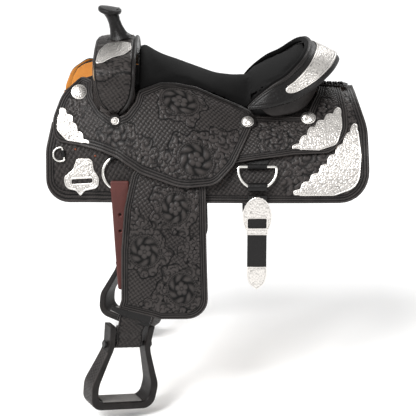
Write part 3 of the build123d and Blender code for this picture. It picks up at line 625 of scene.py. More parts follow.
def seeds_in(low, high, spacing, seed):
    """Jittered points over a rectangle, with a size, turning direction and phase for each."""
    rng = np.random.default_rng(seed)
    us = np.arange(low[0], high[0] + spacing, spacing)
    vs = np.arange(low[1], high[1] + spacing, spacing * 0.87)
    rows = []
    for k, v in enumerate(vs):
        for u in us:
            shift = 0.5 * spacing * (k % 2)
            jitter = rng.uniform(-0.26, 0.26, 2) * spacing
            rows.append((
                u + shift + jitter[0], v + jitter[1],
                rng.uniform(0.8, 1.25), rng.choice((-1, 1)), rng.uniform(0, 6.28),
            ))
    return np.array(rows)


def scrolls(u, v, seeds, spacing):
    """Carved flowers and acanthus curls, laid over one another in order, on a stamped-down ground."""
    height = np.empty(len(u))
    arms = np.where(seeds[:, 4] > 4.4, 5.0, np.where(seeds[:, 4] > 2.2, 2.0, 1.0))
    for start in range(0, len(u), 4000):
        p = slice(start, start + 4000)
        du = u[p, None] - seeds[None, :, 0]
        dv = v[p, None] - seeds[None, :, 1]
        reach = np.hypot(du, dv) / (0.72 * spacing * seeds[None, :, 2])
        close = reach < 1.05
        theta = np.arctan2(dv, du)
        lobes = 0.80 + 0.20 * np.abs(np.cos(2.5 * theta + seeds[None, :, 4])) ** 0.7
        inside = close & (reach < lobes)
        pick = inside.argmax(axis=1)
        rows = np.arange(len(pick))
        found = inside[rows, pick]
        r = reach[rows, pick]
        t = theta[rows, pick]
        edge = lobes[rows, pick] - r
        turn = seeds[pick, 3] * t * arms[pick] + 4.2 * np.log(r + 0.16) + seeds[pick, 4]
        curl = (0.5 + 0.5 * np.sin(turn)) ** 0.8
        petal = np.abs(np.cos(2.5 * t + seeds[pick, 4])) ** 0.6 * soft_step(r, 0.14, 0.24)
        shape = np.where(arms[pick] > 4, petal, 0.25 + 0.75 * curl)
        shape = np.maximum(shape, 1 - (r / 0.17) ** 2)
        shape *= soft_step(edge, 0.0, 0.10)
        height[p] = np.where(found, shape, 0.05)
    return height


def rosette(u, v, place, radius, phase, stretch=1.0):
    """A round carved medallion: flower, leaf ring and rope edge. Returns heights and how much it covers."""
    du, dv = (u - place[0]) / radius, (v - place[1]) / (radius * stretch)
    r, theta = np.hypot(du, dv), np.arctan2(dv, du)
    petal = np.abs(np.cos(2.5 * theta + phase))
    rim = 0.30 + 0.17 * petal**0.6
    flower = np.clip(1 - (r / rim) ** 5, 0, 1) * (0.45 + 0.55 * petal**0.5) * soft_step(r, 0.06, 0.2)
    heart = np.clip(1 - (r / 0.11) ** 2, 0, 1)
    swirl = 0.5 + 0.5 * np.sin(7 * theta + 7.5 * r + phase)
    leaves = swirl**0.8 * np.clip(1 - np.abs(r - 0.68) / 0.2, 0, 1) ** 0.4
    rope = np.clip(1 - np.abs(r - 0.98) / 0.06, 0, 1) ** 0.5 * (0.7 + 0.3 * np.sin(44 * theta))
    ring = np.clip(1 - np.abs(r - 0.885) / 0.02, 0, 1)
    height = 0.12 + 0.88 * np.maximum.reduce([flower, heart, leaves, rope, ring])
    return height, soft_step(1.07 - r, 0.0, 0.03)


def edge_lines(distance, width=10.0):
    """Border tooling by distance from the edge: a plain rolled edge, a rope line and a thin ridge."""
    d = distance / width
    rolled = np.clip(1 - ((d - 0.12) / 0.17) ** 4, 0, 1)
    rope = np.clip(1 - ((d - 0.50) / 0.14) ** 2, 0, 1)
    ridge = np.clip(1 - ((d - 0.84) / 0.11) ** 2, 0, 1) * 0.95
    return np.maximum.reduce([rolled, rope, ridge])


def carved(depth, base, medallions=(), border=10.0, rope_pitch=3.2):
    """A relief function: base pattern, then medallions, then the border. Heights in millimetres."""

    def relief(uv, distance):
        u, v = uv[:, 0], uv[:, 1]
        height = base(u, v)
        for place, radius, phase, stretch in medallions:
            shape, cover = rosette(u, v, place, radius, phase, stretch)
            height = height * (1 - cover) + shape * cover
        if border:
            lines = edge_lines(distance, border)
            twist = 0.82 + 0.18 * np.sin((u + v) * 2 * np.pi / rope_pitch)
            inside = soft_step(distance, border * 0.98, border * 1.12)
            height = height * inside + lines * twist * (1 - inside)
        return depth * (height - 1.0), height

    return relief


def leaf_clusters(spots, spacing, low, high, seed, pitch=8.0):
    """Base pattern: basket weave with lobed clusters of carved leaves at the spots (place, reach)."""
    seeds = seeds_in(low, high, spacing, seed)

    def base(u, v):
        cover = np.full(len(u), -1.0)
        for index, (place, reach) in enumerate(spots):
            du, dv = u - place[0], v - place[1]
            theta = np.arctan2(dv, du)
            lobed = reach * (1 + 0.13 * np.cos(5 * theta + index) + 0.06 * np.cos(11 * theta))
            cover = np.maximum(cover, 1 - np.hypot(du, dv) / lobed)
        cut = 0.2 + 0.8 * soft_step(np.abs(cover) * 45, 0.6, 2.0)
        return np.where(cover > 0, scrolls(u, v, seeds, spacing), basket(u, v, pitch)) * cut

    return base


def plain(level=0.6):
    return lambda uv, distance: (np.zeros(len(uv)), np.full(len(uv), level))


# ---------------------------------------------------------------- skirts, fleece and jockeys
SKIRT_THICK = 6.0
JOCKEY_THICK = 4.0
SEAT_JOCKEY_OVER = {-400: 1.5, -290: 2, -235: 14, -205: 28, -190: 30, -40: 30, 30: 24, 70: 17, 115: 16}
REAR_JOCKEY_OVER = {20: 10, 160: 10, 230: 6, 300: 2, 400: 2}
SKIRT_OUTLINE = [
    (-300, 130, 0), (-303, 66, 30), (-346, 5, 70), (-367, -85, 90), (-367, -203, 70), (0, -199, 0),
    (365, -196, 75), (363, -45, 90), (338, 25, 20), (335, 130, 0),
]
CHANNEL_X = (-410, -338, -328, -315, -298, -278, -255, -225, -180, -80, 215, 262, 410)
CHANNEL_HALF = (160, 148, 127, 111, 99, 89, 78, 60, 53, 29, 29, 1.5, 1.5)
FLEECE_TOP_X = (-410, -300, -240, -195, -80, 215, 262, 410)
FLEECE_TOP_HALF = (176, 168, 112, 58, 30, 30, 2.5, 2.5)
SEAT_JOCKEY_OUTLINE = [
    (-262, 58, 6), (-288, 66, 22), (-331, 32, 60), (-352, -20, 60), (-349, -67, 28), (-258, -81, 60),
    (-205, -94, 40), (-150, -128, 60), (-60, -157, 110), (18, -151, 50), (58, -112, 40), (108, -22, 8),
    (95, -8, 8), (62, 3, 40), (16, 21, 60), (-30, 41, 60), (-75, 51, 60), (-109, 53, 40), (-158, 40, 10),
    (-164, 20, 12), (-184, -4, 20), (-211, -14, 20), (-240, 0, 20), (-263, 30, 30),
]
REAR_JOCKEY_OUTLINE = [
    (42, 70, 0), (42, -112, 4), (119, -101, 60), (194, -92, 60), (280, -90, 45), (318, -50, 40),
    (318, -15, 50), (308, 30, 6), (308, 70, 0),
]
REAR_JOCKEY_INNER_X = (20, 225, 252, 262, 410)
REAR_JOCKEY_INNER_HALF = (132, 132, 60, 1.5, 1.5)


def shifted(table, step):
    return {x: value + step for x, value in table.items()}


def below_line(outline, xs, halves, over):
    """Keep an (x, v) outline outside a line seen from above, |y| = halves(x)."""
    half = form(outline[:, 0])[0] + over_at(over, outline[:, 0])
    reach = np.interp(outline[:, 0], xs, halves) / half
    return np.stack([outline[:, 0], np.maximum(outline[:, 1], ROUND * np.arcsin(reach))], -1)


def at(x, z, over):
    """(x, v) of a point given by x and height on a surface over the skirt."""
    return x, float(drop_of(np.array(float(x)), z, over))


def make_skirts():
    seeds = seeds_in((-380, 0), (380, 460), 24, 3)

    def base(u, v):
        woven = basket(u, v)
        leaves = scrolls(u, v, seeds, 24)
        rear = soft_step(u, 168, 171)
        return woven * (1 - rear) + leaves * rear

    outline = on_form(rounded(SKIRT_OUTLINE), -SKIRT_THICK)
    outline = below_line(outline, CHANNEL_X, CHANNEL_HALF, -SKIRT_THICK)
    geometry = side_sheet([outline], -SKIRT_THICK, SKIRT_THICK, carved(1.4, base, border=18.0), 2.1)
    put_sides("skirt_leather", geometry, nodes=["{side}_skirt"])

    wool = on_form(rounded([(x, z, r) for x, z, r in SKIRT_OUTLINE]), -18)
    wool = below_line(wool, FLEECE_TOP_X, FLEECE_TOP_HALF, -18)
    centre = wool.mean(0)
    wool = centre + (wool - centre) * np.array([0.991, 0.985])
    points, groups, tool = side_sheet(
        [wool], -17.5, 10.8, plain(0.5), 4.0, top="fleece", under="fleece", edge="fleece"
    )
    count = len(points) // 2
    x, y, z = points[count:].T
    curl = np.sin(x * 0.71 + 2 * np.sin(z * 0.33)) * np.sin(z * 0.63 + 2 * np.sin(y * 0.41 + x * 0.2))
    curl += 0.6 * np.sin(x * 1.43 + 1.7 * np.sin(z * 0.9)) * np.sin(y * 1.1 + z * 1.21)
    inward = points[:count] - points[count:]
    inward /= np.linalg.norm(inward, axis=1, keepdims=True)
    points[count:] += inward * (0.4 + 1.3 * curl)[:, None]
    put_sides("skirt_fleece", (points, groups, tool), nodes=["{side}_fleece"])


def make_jockeys():
    low_medal = at(-27, -96, 30)
    top_medal = at(-64, 18, 30)
    seat_base = leaf_clusters([
        (low_medal, 62), (top_medal, 56), (at(-205, -48, 28), 40), (at(-165, -86, 28), 42),
        (at(-110, -118, 28), 40), (at(41, -70, 28), 46), (at(15, -118, 28), 46), (at(-300, 20, 4), 34),
    ], 19, (-380, 0), (340, 460), 11)
    medallions = [
        (low_medal, 41, 0.4, 0.92), (top_medal, 43, 1.2, 0.80), (at(-205, -48, 28), 27, 2.0, 1.0),
    ]
    outline = on_form(rounded(SEAT_JOCKEY_OUTLINE), SEAT_JOCKEY_OVER)
    geometry = side_sheet([outline], SEAT_JOCKEY_OVER, JOCKEY_THICK, carved(1.9, seat_base, medallions, 15.0), 1.55)
    put_sides("seat_jockey_leather", geometry, nodes=["{side}_seat_jockey"])

    # the rolled bead along the jockey's upper edge, where the suede goes under it
    top = rounded(SEAT_JOCKEY_OUTLINE)
    upper = top[
        (top[:, 0] > -160) & (top[:, 0] < 104)
        & (top[:, 1] > np.interp(top[:, 0], (-160, -100, 0, 104), (26, 30, 0, -30)))
    ]
    upper = upper[np.argsort(upper[:, 0])]
    xs = np.linspace(-157, 100, 110)
    zs = np.interp(xs, upper[:, 0], upper[:, 1])
    over = shifted(SEAT_JOCKEY_OVER, 3.2)
    path = on_side(xs, drop_of(xs, zs, over), over)
    bead = tube_geometry(path, 3.4, "edge", 12)
    put_sides("seat_jockey_bead", bead)

    rear_base = leaf_clusters([
        (at(150, -62, 14), 38), (at(262, -5, 10), 46), (at(200, -35, 12), 34), (at(110, -22, 16), 30),
    ], 17, (-380, 0), (340, 460), 12)
    outline = on_form(rounded(REAR_JOCKEY_OUTLINE), REAR_JOCKEY_OVER)
    outline = below_line(outline, REAR_JOCKEY_INNER_X, REAR_JOCKEY_INNER_HALF, REAR_JOCKEY_OVER)
    medals = [(at(150, -62, 14), 24, 0.9, 1.0), (at(262, -5, 10), 26, 0.2, 1.1)]
    geometry = side_sheet([outline], REAR_JOCKEY_OVER, JOCKEY_THICK, carved(1.8, rear_base, medals, 15.0), 1.6)
    put_sides("rear_jockey_leather", geometry, nodes=["{side}_rear_jockey"])


# ---------------------------------------------------------------- silver plates
def scalloped(corners, first, last, depth, pitch):
    """Rounded outline whose side from corner `first` to `last` is cut in scallops."""
    path = rounded(corners, 1.2)
    a, b = np.array(corners[first][:2], float), np.array(corners[last][:2], float)
    along = (b - a) / np.linalg.norm(b - a)
    across = np.array([-along[1], along[0]])
    inside = np.sign((path.mean(0) - a) @ across)
    length = np.linalg.norm(b - a)
    t = (path - a) @ along
    gap = (path - a) @ across * inside
    near_side = (np.abs(gap) < 16) & (t > 6) & (t < length - 6)
    count = max(3, round(length / pitch))
    wave = np.abs(np.sin(np.pi * count * t / length)) * (0.75 + 0.25 * np.sin(np.pi * t / length))
    path[near_side] -= (depth * (wave[near_side] - 0.45) * inside)[:, None] * across
    return path


def engraved(seed, low, high, spacing=9.5, depth=0.8):
    """Relief of an engraved silver plate: leaves on the ground, a bright cut line round the rim."""
    seeds = seeds_in(low, high, spacing, seed)

    def relief(uv, distance):
        height = scrolls(uv[:, 0], uv[:, 1], seeds, spacing)
        height = 0.25 + 0.75 * height
        rim = soft_step(distance, 2.6, 3.4)
        cut = soft_step(np.abs(distance - 3.2), 0.0, 0.9)
        height = np.where(rim > 0.5, height, 1.0) * (0.1 + 0.9 * cut)
        return depth * (height - 1.0), height

    return relief


FRONT_PLATE = [
    (-334, 8, 4), (-309, -14, 4), (-299, -35, 4), (-279, -59, 4), (-262, -72, 4), (-320, -64, 12),
    (-342, -42, 12), (-341, -20, 20),
]
REAR_PLATE = [
    (305, -3, 5), (262, -24, 4), (233, -41, 4), (200, -70, 4), (184, -80, 5), (250, -83, 20), (292, -72, 20),
    (305, -40, 20),
]
SKIRT_PLATE = [
    (340, -30, 5), (318, -50, 4), (300, -74, 4), (252, -125, 4), (215, -155, 4), (184, -180, 5),
    (285, -179, 30), (340, -160, 40), (347, -95, 40),
]
KEEPER_OUTLINE = [
    (-297, -104, 9), (-263, -104, 9), (-259, -128, 20), (-246, -146, 16), (-248, -168, 14), (-279, -175, 8),
    (-289, -187, 3), (-299, -175, 8), (-322, -170, 16), (-328, -146, 16), (-306, -128, 20),
]
KEEPER_SLOT = [(-309, -150, 3), (-262, -147, 3), (-262, -157, 3), (-309, -160, 3)]
SILVER_THICK = 1.5


def make_silver():
    step = dict(top="silver", under="silver", edge="polished")
    jockey = shifted(SEAT_JOCKEY_OVER, JOCKEY_THICK - 0.4)
    rear = shifted(REAR_JOCKEY_OVER, JOCKEY_THICK - 0.4)
    plates = (
        ("front_jockey_silver", jockey, scalloped(FRONT_PLATE, 0, 4, 6, 22), "front_jockey_plates", 5),
        ("rear_jockey_silver", rear, scalloped(REAR_PLATE, 0, 4, 6, 24), "rear_jockey_plates", 6),
        ("skirt_silver", -0.4, scalloped(SKIRT_PLATE, 0, 5, 7, 26), "skirt_plates", 7),
    )
    for name, over, path, node, seed in plates:
        outline = on_form(path, over)
        relief = engraved(seed, outline.min(0), outline.max(0))
        geometry = side_sheet([outline], over, SILVER_THICK, relief, 1.15, **step)
        put_sides(name, geometry, nodes=[node])
    outline = on_form(rounded(KEEPER_OUTLINE, 1.2), -0.4)
    hole = on_form(rounded(KEEPER_SLOT, 1.2), -0.4)
    relief = engraved(8, outline.min(0), outline.max(0))
    geometry = side_sheet([outline, hole], -0.4, 1.9, relief, 1.0, **step)
    put_sides("latigo_keeper_silver", geometry, nodes=["latigo_keepers"])


# ---------------------------------------------------------------- swept and lofted closed surfaces
def grid_geometry(rows, material, close_rows=False, caps=True, relief=None):
    """Closed loops of points (rows, loop, 3), skinned; relief(normals, rows) gives heights and tool values."""
    rows = np.asarray(rows, float)
    n, m = rows.shape[:2]
    tool = np.full((n, m), 0.5)
    across = np.roll(rows, -1, axis=1) - np.roll(rows, 1, axis=1)
    if close_rows:
        along = np.roll(rows, -1, axis=0) - np.roll(rows, 1, axis=0)
    else:
        along = np.gradient(rows, axis=0)
    normal = np.cross(along, across)
    normal /= np.maximum(np.linalg.norm(normal, axis=-1, keepdims=True), 1e-9)
    middle = rows.mean(axis=1, keepdims=True)
    if ((rows - middle) * normal).sum() < 0:
        normal = -normal
    if relief is not None:
        height, tool = relief(rows)
        rows = rows + normal * height[..., None]
    index = np.arange(n * m).reshape(n, m)
    upper = index if close_rows else index[:-1]
    lower = np.roll(index, -1, axis=0) if close_rows else index[1:]
    quads = np.stack([upper, lower, np.roll(lower, -1, axis=1), np.roll(upper, -1, axis=1)], -1).reshape(-1, 4)
    points = rows.reshape(-1, 3)
    values = tool.reshape(-1)
    a, b, c = points[quads[:, 0]], points[quads[:, 1]], points[quads[:, 2]]
    facing = (np.cross(b - a, c - a) * normal.reshape(-1, 3)[quads[:, 0]]).sum()
    if facing < 0:
        quads = quads[:, ::-1]
    groups = [(quads, material)]
    if caps and not close_rows:
        ends = np.stack([rows[0].mean(0), rows[-1].mean(0)])
        base = len(points)
        points = np.concatenate([points, ends])
        values = np.concatenate([values, [0.5, 0.5]])
        first = np.stack([index[0], np.roll(index[0], -1), np.full(m, base)], -1)
        last = np.stack([np.roll(index[-1], -1), index[-1], np.full(m, base + 1)], -1)
        if facing < 0:
            first, last = first[:, ::-1], last[:, ::-1]
        groups += [(first, material), (last, material)]
    return points, groups, values


def joined(parts):
    """Several (points, groups, tool) put together as one."""
    points, groups, tool, base = [], [], [], 0
    for p, g, t in parts:
        points.append(p)
        tool.append(t)
        groups += [(np.asarray(f) + base, m) for f, m in g]
        base += len(p)
    return np.concatenate(points), groups, np.concatenate(tool)


def tube_geometry(path, radius, material, sides=12, closed=False, relief=None):
    """A round tube along a path; radius is a number or one for each point."""
    path = np.asarray(path, float)
    radius = np.broadcast_to(np.asarray(radius, float), (len(path),))
    if closed:
        tangent = np.roll(path, -1, axis=0) - np.roll(path, 1, axis=0)
    else:
        tangent = np.gradient(path, axis=0)
    tangent /= np.linalg.norm(tangent, axis=1, keepdims=True)
    up = np.array([0.0, 0.0, 1.0])
    if abs(tangent[0] @ up) > 0.9:
        up = np.array([1.0, 0.0, 0.0])
    side = np.cross(tangent[0], up)
    rows = []
    angles = np.linspace(0, 2 * np.pi, sides, endpoint=False)
    for p, t, r in zip(path, tangent, radius):
        side = side - t * (side @ t)
        side /= np.linalg.norm(side)
        other = np.cross(t, side)
        rows.append(p + r * (np.cos(angles)[:, None] * side + np.sin(angles)[:, None] * other))
    return grid_geometry(rows, material, close_rows=closed, relief=relief)


def curve(points, count, closed=False):
    """Catmull-Rom curve through the points."""
    points = np.asarray(points, float)
    n = len(points)
    out = []
    total = n if closed else n - 1
    for k in range(count):
        s = k / (count if closed else count - 1) * total
        i = min(int(s), total - 1)
        t = s - i
        if closed:
            p = [points[(i + j) % n] for j in (-1, 0, 1, 2)]
        else:
            p = [points[min(max(i + j, 0), n - 1)] for j in (-1, 0, 1, 2)]
        out.append(
            0.5 * (2 * p[1] + (p[2] - p[0]) * t + (2 * p[0] - 5 * p[1] + 4 * p[2] - p[3]) * t**2
                   + (3 * p[1] - p[0] - 3 * p[2] + p[3]) * t**3)
        )
    return np.array(out)


# ---------------------------------------------------------------- fork, swell cover and horn
SWELL_FRONT = [
    (-153, 60, 60), (-166, 6, 8), (-150, -12, 8), (150, -12, 8), (166, 6, 8), (153, 60, 60), (150, 88, 30),
    (118, 109, 50), (60, 124, 90), (0, 131, 120), (-60, 124, 90), (-118, 109, 50), (-150, 88, 30),
]
SWELL_HEIGHTS = (-8, 2, 10, 20, 34, 54, 75, 110, 160)
SWELL_FRONT_X = (-222, -230, -238, -246, -252, -257, -260, -262, -262)
SWELL_REAR_X = (-200, -192, -184, -177, -171, -167, -165, -165, -165)
FORK_UNDER = 22.0


def swell_profile(grow):
    """The swell seen from the front, near bottom over the top to off bottom, as (y, z)."""
    path = rounded(SWELL_FRONT, 3.0)
    step = np.roll(path, -1, axis=0) - np.roll(path, 1, axis=0)
    out = np.stack([step[:, 1], -step[:, 0]], -1)
    out /= np.linalg.norm(out, axis=1, keepdims=True)
    if (out * (path - path.mean(0))).sum() < 0:
        out = -out
    path = path + out * grow
    keep = path[path[:, 1] > -7.0]
    return keep[np.argsort(np.arctan2(keep[:, 0], keep[:, 1] - 20))]


def make_fork():
    seeds = seeds_in((-260, -320), (-150, 320), 20, 21)
    path = swell_profile(5.0)
    keep = np.concatenate([[0], np.cumsum(np.linalg.norm(np.diff(path, axis=0), axis=1))])
    s = np.linspace(0, keep[-1], 230)
    y, z = np.interp(s, keep, path[:, 0]), np.interp(s, keep, path[:, 1])
    y, z = 0.5 * (y - y[::-1]), 0.5 * (z + z[::-1])
    middle = keep[-1] / 2
    front, rear = np.interp(z, SWELL_HEIGHTS, SWELL_FRONT_X), np.interp(z, SWELL_HEIGHTS, SWELL_REAR_X)
    rows = []
    for k in range(len(s)):
        x0, x1 = front[k], rear[k]
        span = np.linspace(x0, x1, 30)
        depth = 13.0
        r = 12.0
        turn = np.linspace(0, math.pi / 2, 8)
        outer = []
        for a in turn:
            outer.append((x0 + r - r * math.cos(a), -r + r * math.sin(a)))
        for x in span[6:-6]:
            mid = (x - x0) / (x1 - x0)
            outer.append((x, 1.2 * math.sin(math.pi * mid)))
        for a in turn[::-1]:
            outer.append((x1 - r + r * math.cos(a), -r + r * math.sin(a)))
        inner_x = np.linspace(x1, x0, 16)
        loop = []
        k0, k1 = max(k - 1, 0), min(k + 1, len(s) - 1)
        along = np.array([y[k1] - y[k0], z[k1] - z[k0]])
        along /= np.linalg.norm(along)
        out = np.array([-along[1], along[0]])
        if out @ np.array([y[k], z[k] - 40]) < 0:
            out = -out
        for x, lift in outer:
            loop.append((x, y[k] + out[0] * lift, z[k] + out[1] * lift))
        for x in inner_x:
            half, drop, crest = form(np.array(x))
            reach = abs(y[k]) * 0.97
            sine = min(reach / (half + FORK_UNDER), 0.999)
            under = crest - drop + (drop + FORK_UNDER) * math.sqrt(1 - sine * sine)
            top = z[k] - depth if z[k] - depth < under else under
            loop.append((x, math.copysign(reach - (2 if top < under else 0), y[k]), min(top, z[k] - 9)))
        rows.append(loop)
    rows = np.array(rows)
    outer_count = 8 + 18 + 8

    def relief(grid):
        n, m = grid.shape[:2]
        height = np.full((n, m), 1.0)
        x = grid[:, :outer_count, 0]
        run = np.repeat((s - middle)[:, None], outer_count, axis=1)
        u, v = x.ravel(), run.ravel()
        edge = np.minimum(x - front[:, None], rear[:, None] - x).ravel()
        level = np.repeat(z[:, None], outer_count, axis=1).ravel()
        woven = basket(u, v, 8.0)
        leaf = scrolls(u, v, seeds, 20)
        level = level - 78 - 10 * np.sin((u + 215) / 16)
        high = soft_step(level, -1.5, 1.5)
        pattern = leaf * high + woven * (1 - high)
        pattern *= soft_step(np.abs(level), 0.5, 2.5)
        lines = edge_lines(edge + 4, 10.0)
        inside = soft_step(edge, 7.0, 8.5)
        pattern = pattern * inside + lines * (1 - inside)
        height[:, :outer_count] = pattern.reshape(n, outer_count)
        return 1.3 * (height - 1.0), height

    points, groups, tool = grid_geometry(rows, "black", relief=relief)
    piece = make_mesh("swell_leather", points, groups, tool)
    finish_piece(piece, "saddle", ["swell_cover"])

    welt = []
    for k in range(0, len(s), 2):
        welt.append((rear[k] - 2.5, y[k] * 0.985, z[k] - 2.5))
    rope = tube_geometry(welt, 4.2, "edge", 12)
    finish_piece(make_mesh("swell_rear_binding", *rope), "saddle")

    for side in (NEAR, OFF):
        word = side_name(side)
        points, groups, tool = swell_plate_geometry(s, y, z, middle)
        p, g = flipped(points, groups, side)
        finish_piece(make_mesh(f"{word}_swell_silver", p, g, tool), "saddle", ["swell_plates"])


SWELL_PLATE = [
    (-254, 142, 5), (-248, 88, 30), (-230, 46, 22), (-203, 33, 30), (-178, 43, 18), (-175, 82, 18),
    (-190, 108, 24), (-216, 121, 30), (-238, 139, 14),
]


def swell_plate_geometry(s, y, z, middle):
    """Leaf-shaped plate wrapped over the near shoulder of the swell; v runs along the swell from its top."""
    outline = rounded(SWELL_PLATE, 1.2)
    run = middle - s

    def across(v):
        order = np.argsort(run)
        return np.interp(v, run[order], y[order]), np.interp(v, run[order], z[order])

    def place(uv):
        py, pz = across(uv[:, 1])
        return np.stack([uv[:, 0], py, pz], -1) + normals(uv) * 0.9

    def normals(uv):
        ay, az = across(uv[:, 1] - 2)
        by, bz = across(uv[:, 1] + 2)
        out = np.stack([np.zeros(len(uv)), -(az - bz), ay - by], -1)
        out /= np.linalg.norm(out, axis=1, keepdims=True)
        flip = np.sign(out[:, 1] * across(uv[:, 1])[0] + out[:, 2] * 40)
        return out * np.where(flip == 0, 1, flip)[:, None]

    relief = engraved(31, outline.min(0), outline.max(0))
    return sheet_geometry(
        [outline], place, normals, 1.7, relief, 1.15, top="silver", under="silver", edge="polished"
    )


HORN_LEAN = math.radians(16)
HORN_BASE = np.array((-205.0, 0.0, 130.0))
CAP_CENTRE = np.array((-228.0, 0.0, 199.0))
CAP_TILT = math.radians(9)


def make_horn():
    axis = np.array((-math.sin(HORN_LEAN), 0, math.cos(HORN_LEAN)))
    ahead = np.array((-math.cos(HORN_LEAN), 0, -math.sin(HORN_LEAN)))
    profile = [
        (0, 30, 26), (4, 26, 23), (9, 21, 20), (16, 18.5, 17.5), (27, 15.5, 15),
        (42, 14, 14.5), (54, 15, 16), (64, 18, 19), (69, 21, 22),
    ]
    heights = np.linspace(0, 69, 56)
    rows = []
    for h in heights:
        a = np.interp(h, [p[0] for p in profile], [p[1] for p in profile])
        b = np.interp(h, [p[0] for p in profile], [p[2] for p in profile])
        angles = np.linspace(0, 2 * np.pi, 48, endpoint=False)
        centre = HORN_BASE + axis * (h + 4)
        ring = centre + a * np.cos(angles)[:, None] * ahead + b * np.sin(angles)[:, None] * np.array((0, 1.0, 0))
        rows.append(ring)
    rows = np.array(rows)

    def wraps(grid):
        h = np.repeat(heights[:, None], grid.shape[1], axis=1)
        angle = np.linspace(0, 2 * np.pi, grid.shape[1], endpoint=False)[None, :]
        lap = (h / 9.5 + angle / (2 * np.pi)) % 1.0
        fall = soft_step(h, 12, 18) * soft_step(66 - h, 0, 5)
        return -0.8 * np.clip(1 - lap * 7, 0, 1) * fall, 0.6 - 0.4 * np.clip(1 - lap * 7, 0, 1) * fall

    neck = grid_geometry(rows, "smooth", relief=wraps)
    finish_piece(make_mesh("horn_neck_wrap", *neck), "saddle", ["horn_wrap"])

    normal = np.array((math.sin(CAP_TILT), 0, math.cos(CAP_TILT)))
    length = np.array((-math.cos(CAP_TILT), 0, math.sin(CAP_TILT)))
    width = np.array((0, 1.0, 0))
    section = [
        (0.03, -7.5), (0.30, -7.5), (0.55, -6.6), (0.80, -5.6), (0.93, -4.6), (0.985, -2.6), (1.0, 0.0), (0.985, 2.6),
        (0.95, 4.4), (0.90, 5.3), (0.865, 4.9), (0.84, 5.6), (0.78, 6.3), (0.60, 7.2), (0.40, 7.9), (0.20, 8.3), (0.03, 8.4),
    ]
    smooth = curve([(r, h, 0) for r, h in section], 70)
    angles = np.linspace(0, 2 * np.pi, 96, endpoint=False)
    rows = []
    for r, h, _ in smooth:
        bend = h + 2.2 * (r * np.cos(angles)) ** 2
        ring = CAP_CENTRE + 27.5 * r * np.cos(angles)[:, None] * length + 33.5 * r * np.sin(angles)[:, None] * width
        rows.append(ring + bend[:, None] * normal)
    cap = grid_geometry(np.array(rows), "smooth")
    stitches = []
    for k in range(64):
        a0 = 2 * np.pi * k / 64
        path = []
        for a in np.linspace(a0, a0 + 0.06, 4):
            spot = CAP_CENTRE + 27.5 * 0.866 * math.cos(a) * length + 33.5 * 0.866 * math.sin(a) * width
            path.append(spot + (5.4 + 2.2 * (0.866 * math.cos(a)) ** 2) * normal)
        stitches.append(tube_geometry(path, 0.5, "thread", 6))
    finish_piece(make_mesh("horn_cap_leather", *joined([cap] + stitches)), "saddle", ["horn_cap"])


# ---------------------------------------------------------------- seat
SEAT_SECTIONS = [
    (-160, 139, 45, 120), (-130, 123, 54, 102), (-105, 116, 57, 89), (-75, 108, 55, 78), (-30, 97, 46, 59),
    (16, 94, 26, 45), (62, 105, 8, 41), (93, 120, -2, 45), (106, 158, 26, 50), (150, 152, 55, 68),
    (190, 137, 78, 92), (214, 110, 100, 110), (230, 62, 118, 122),
]
PAD_THICK = 9.0


def seat_at(x):
    """Half width, edge height and middle height of the seat at x, smoothed."""
    keys = [row[0] for row in SEAT_SECTIONS]
    spots = x + np.linspace(-10, 10, 9)
    spots = np.clip(spots, keys[0], keys[-1])
    return [float(np.interp(spots, keys, [row[k] for row in SEAT_SECTIONS]).mean()) for k in (1, 2, 3)]


def arch(half, edge, middle, t):
    """Point on the circular arch across the seat, t from -1 (near) to 1."""
    rise = middle - edge
    if abs(rise) < 0.5:
        return half * t, edge + rise * (1 - t * t)
    radius = (half * half + rise * rise) / (2 * rise)
    full = 2 * math.atan2(rise, half)
    angle = full * t
    return radius * math.sin(angle), middle - radius + radius * math.cos(angle)


def seat_shape(shrink):
    xs = np.concatenate([np.linspace(-158, -130, 8), np.linspace(-125, 225, 70), [228.0]])
    rows = []
    for x in xs:
        half, edge, middle = seat_at(x)
        peak = 5.0 * math.exp(-((x + 148) / 14) ** 2)
        half += 2.0 * soft_step(np.array(x), 98, 112) - shrink * (1 - soft_step(np.array(x), 98, 112))
        top, under = [], []
        for t in np.linspace(-1, 1, 61):
            y, z = arch(half, edge, middle, t)
            rise = peak * math.exp(-((t / 0.35) ** 2))
            tuck = (8.0 if x < 100 else 4.5) * max(0.0, (abs(t) - 0.88) / 0.12) ** 1.5
            top.append((x, y, z + rise - 1.2 - tuck))
            y2, z2 = arch(half - 5, edge - (9 if x < 100 else 2), middle - PAD_THICK, t)
            under.append((x, y2, z2))
        rows.append(top + under[::-1])
    return grid_geometry(np.array(rows), "suede")


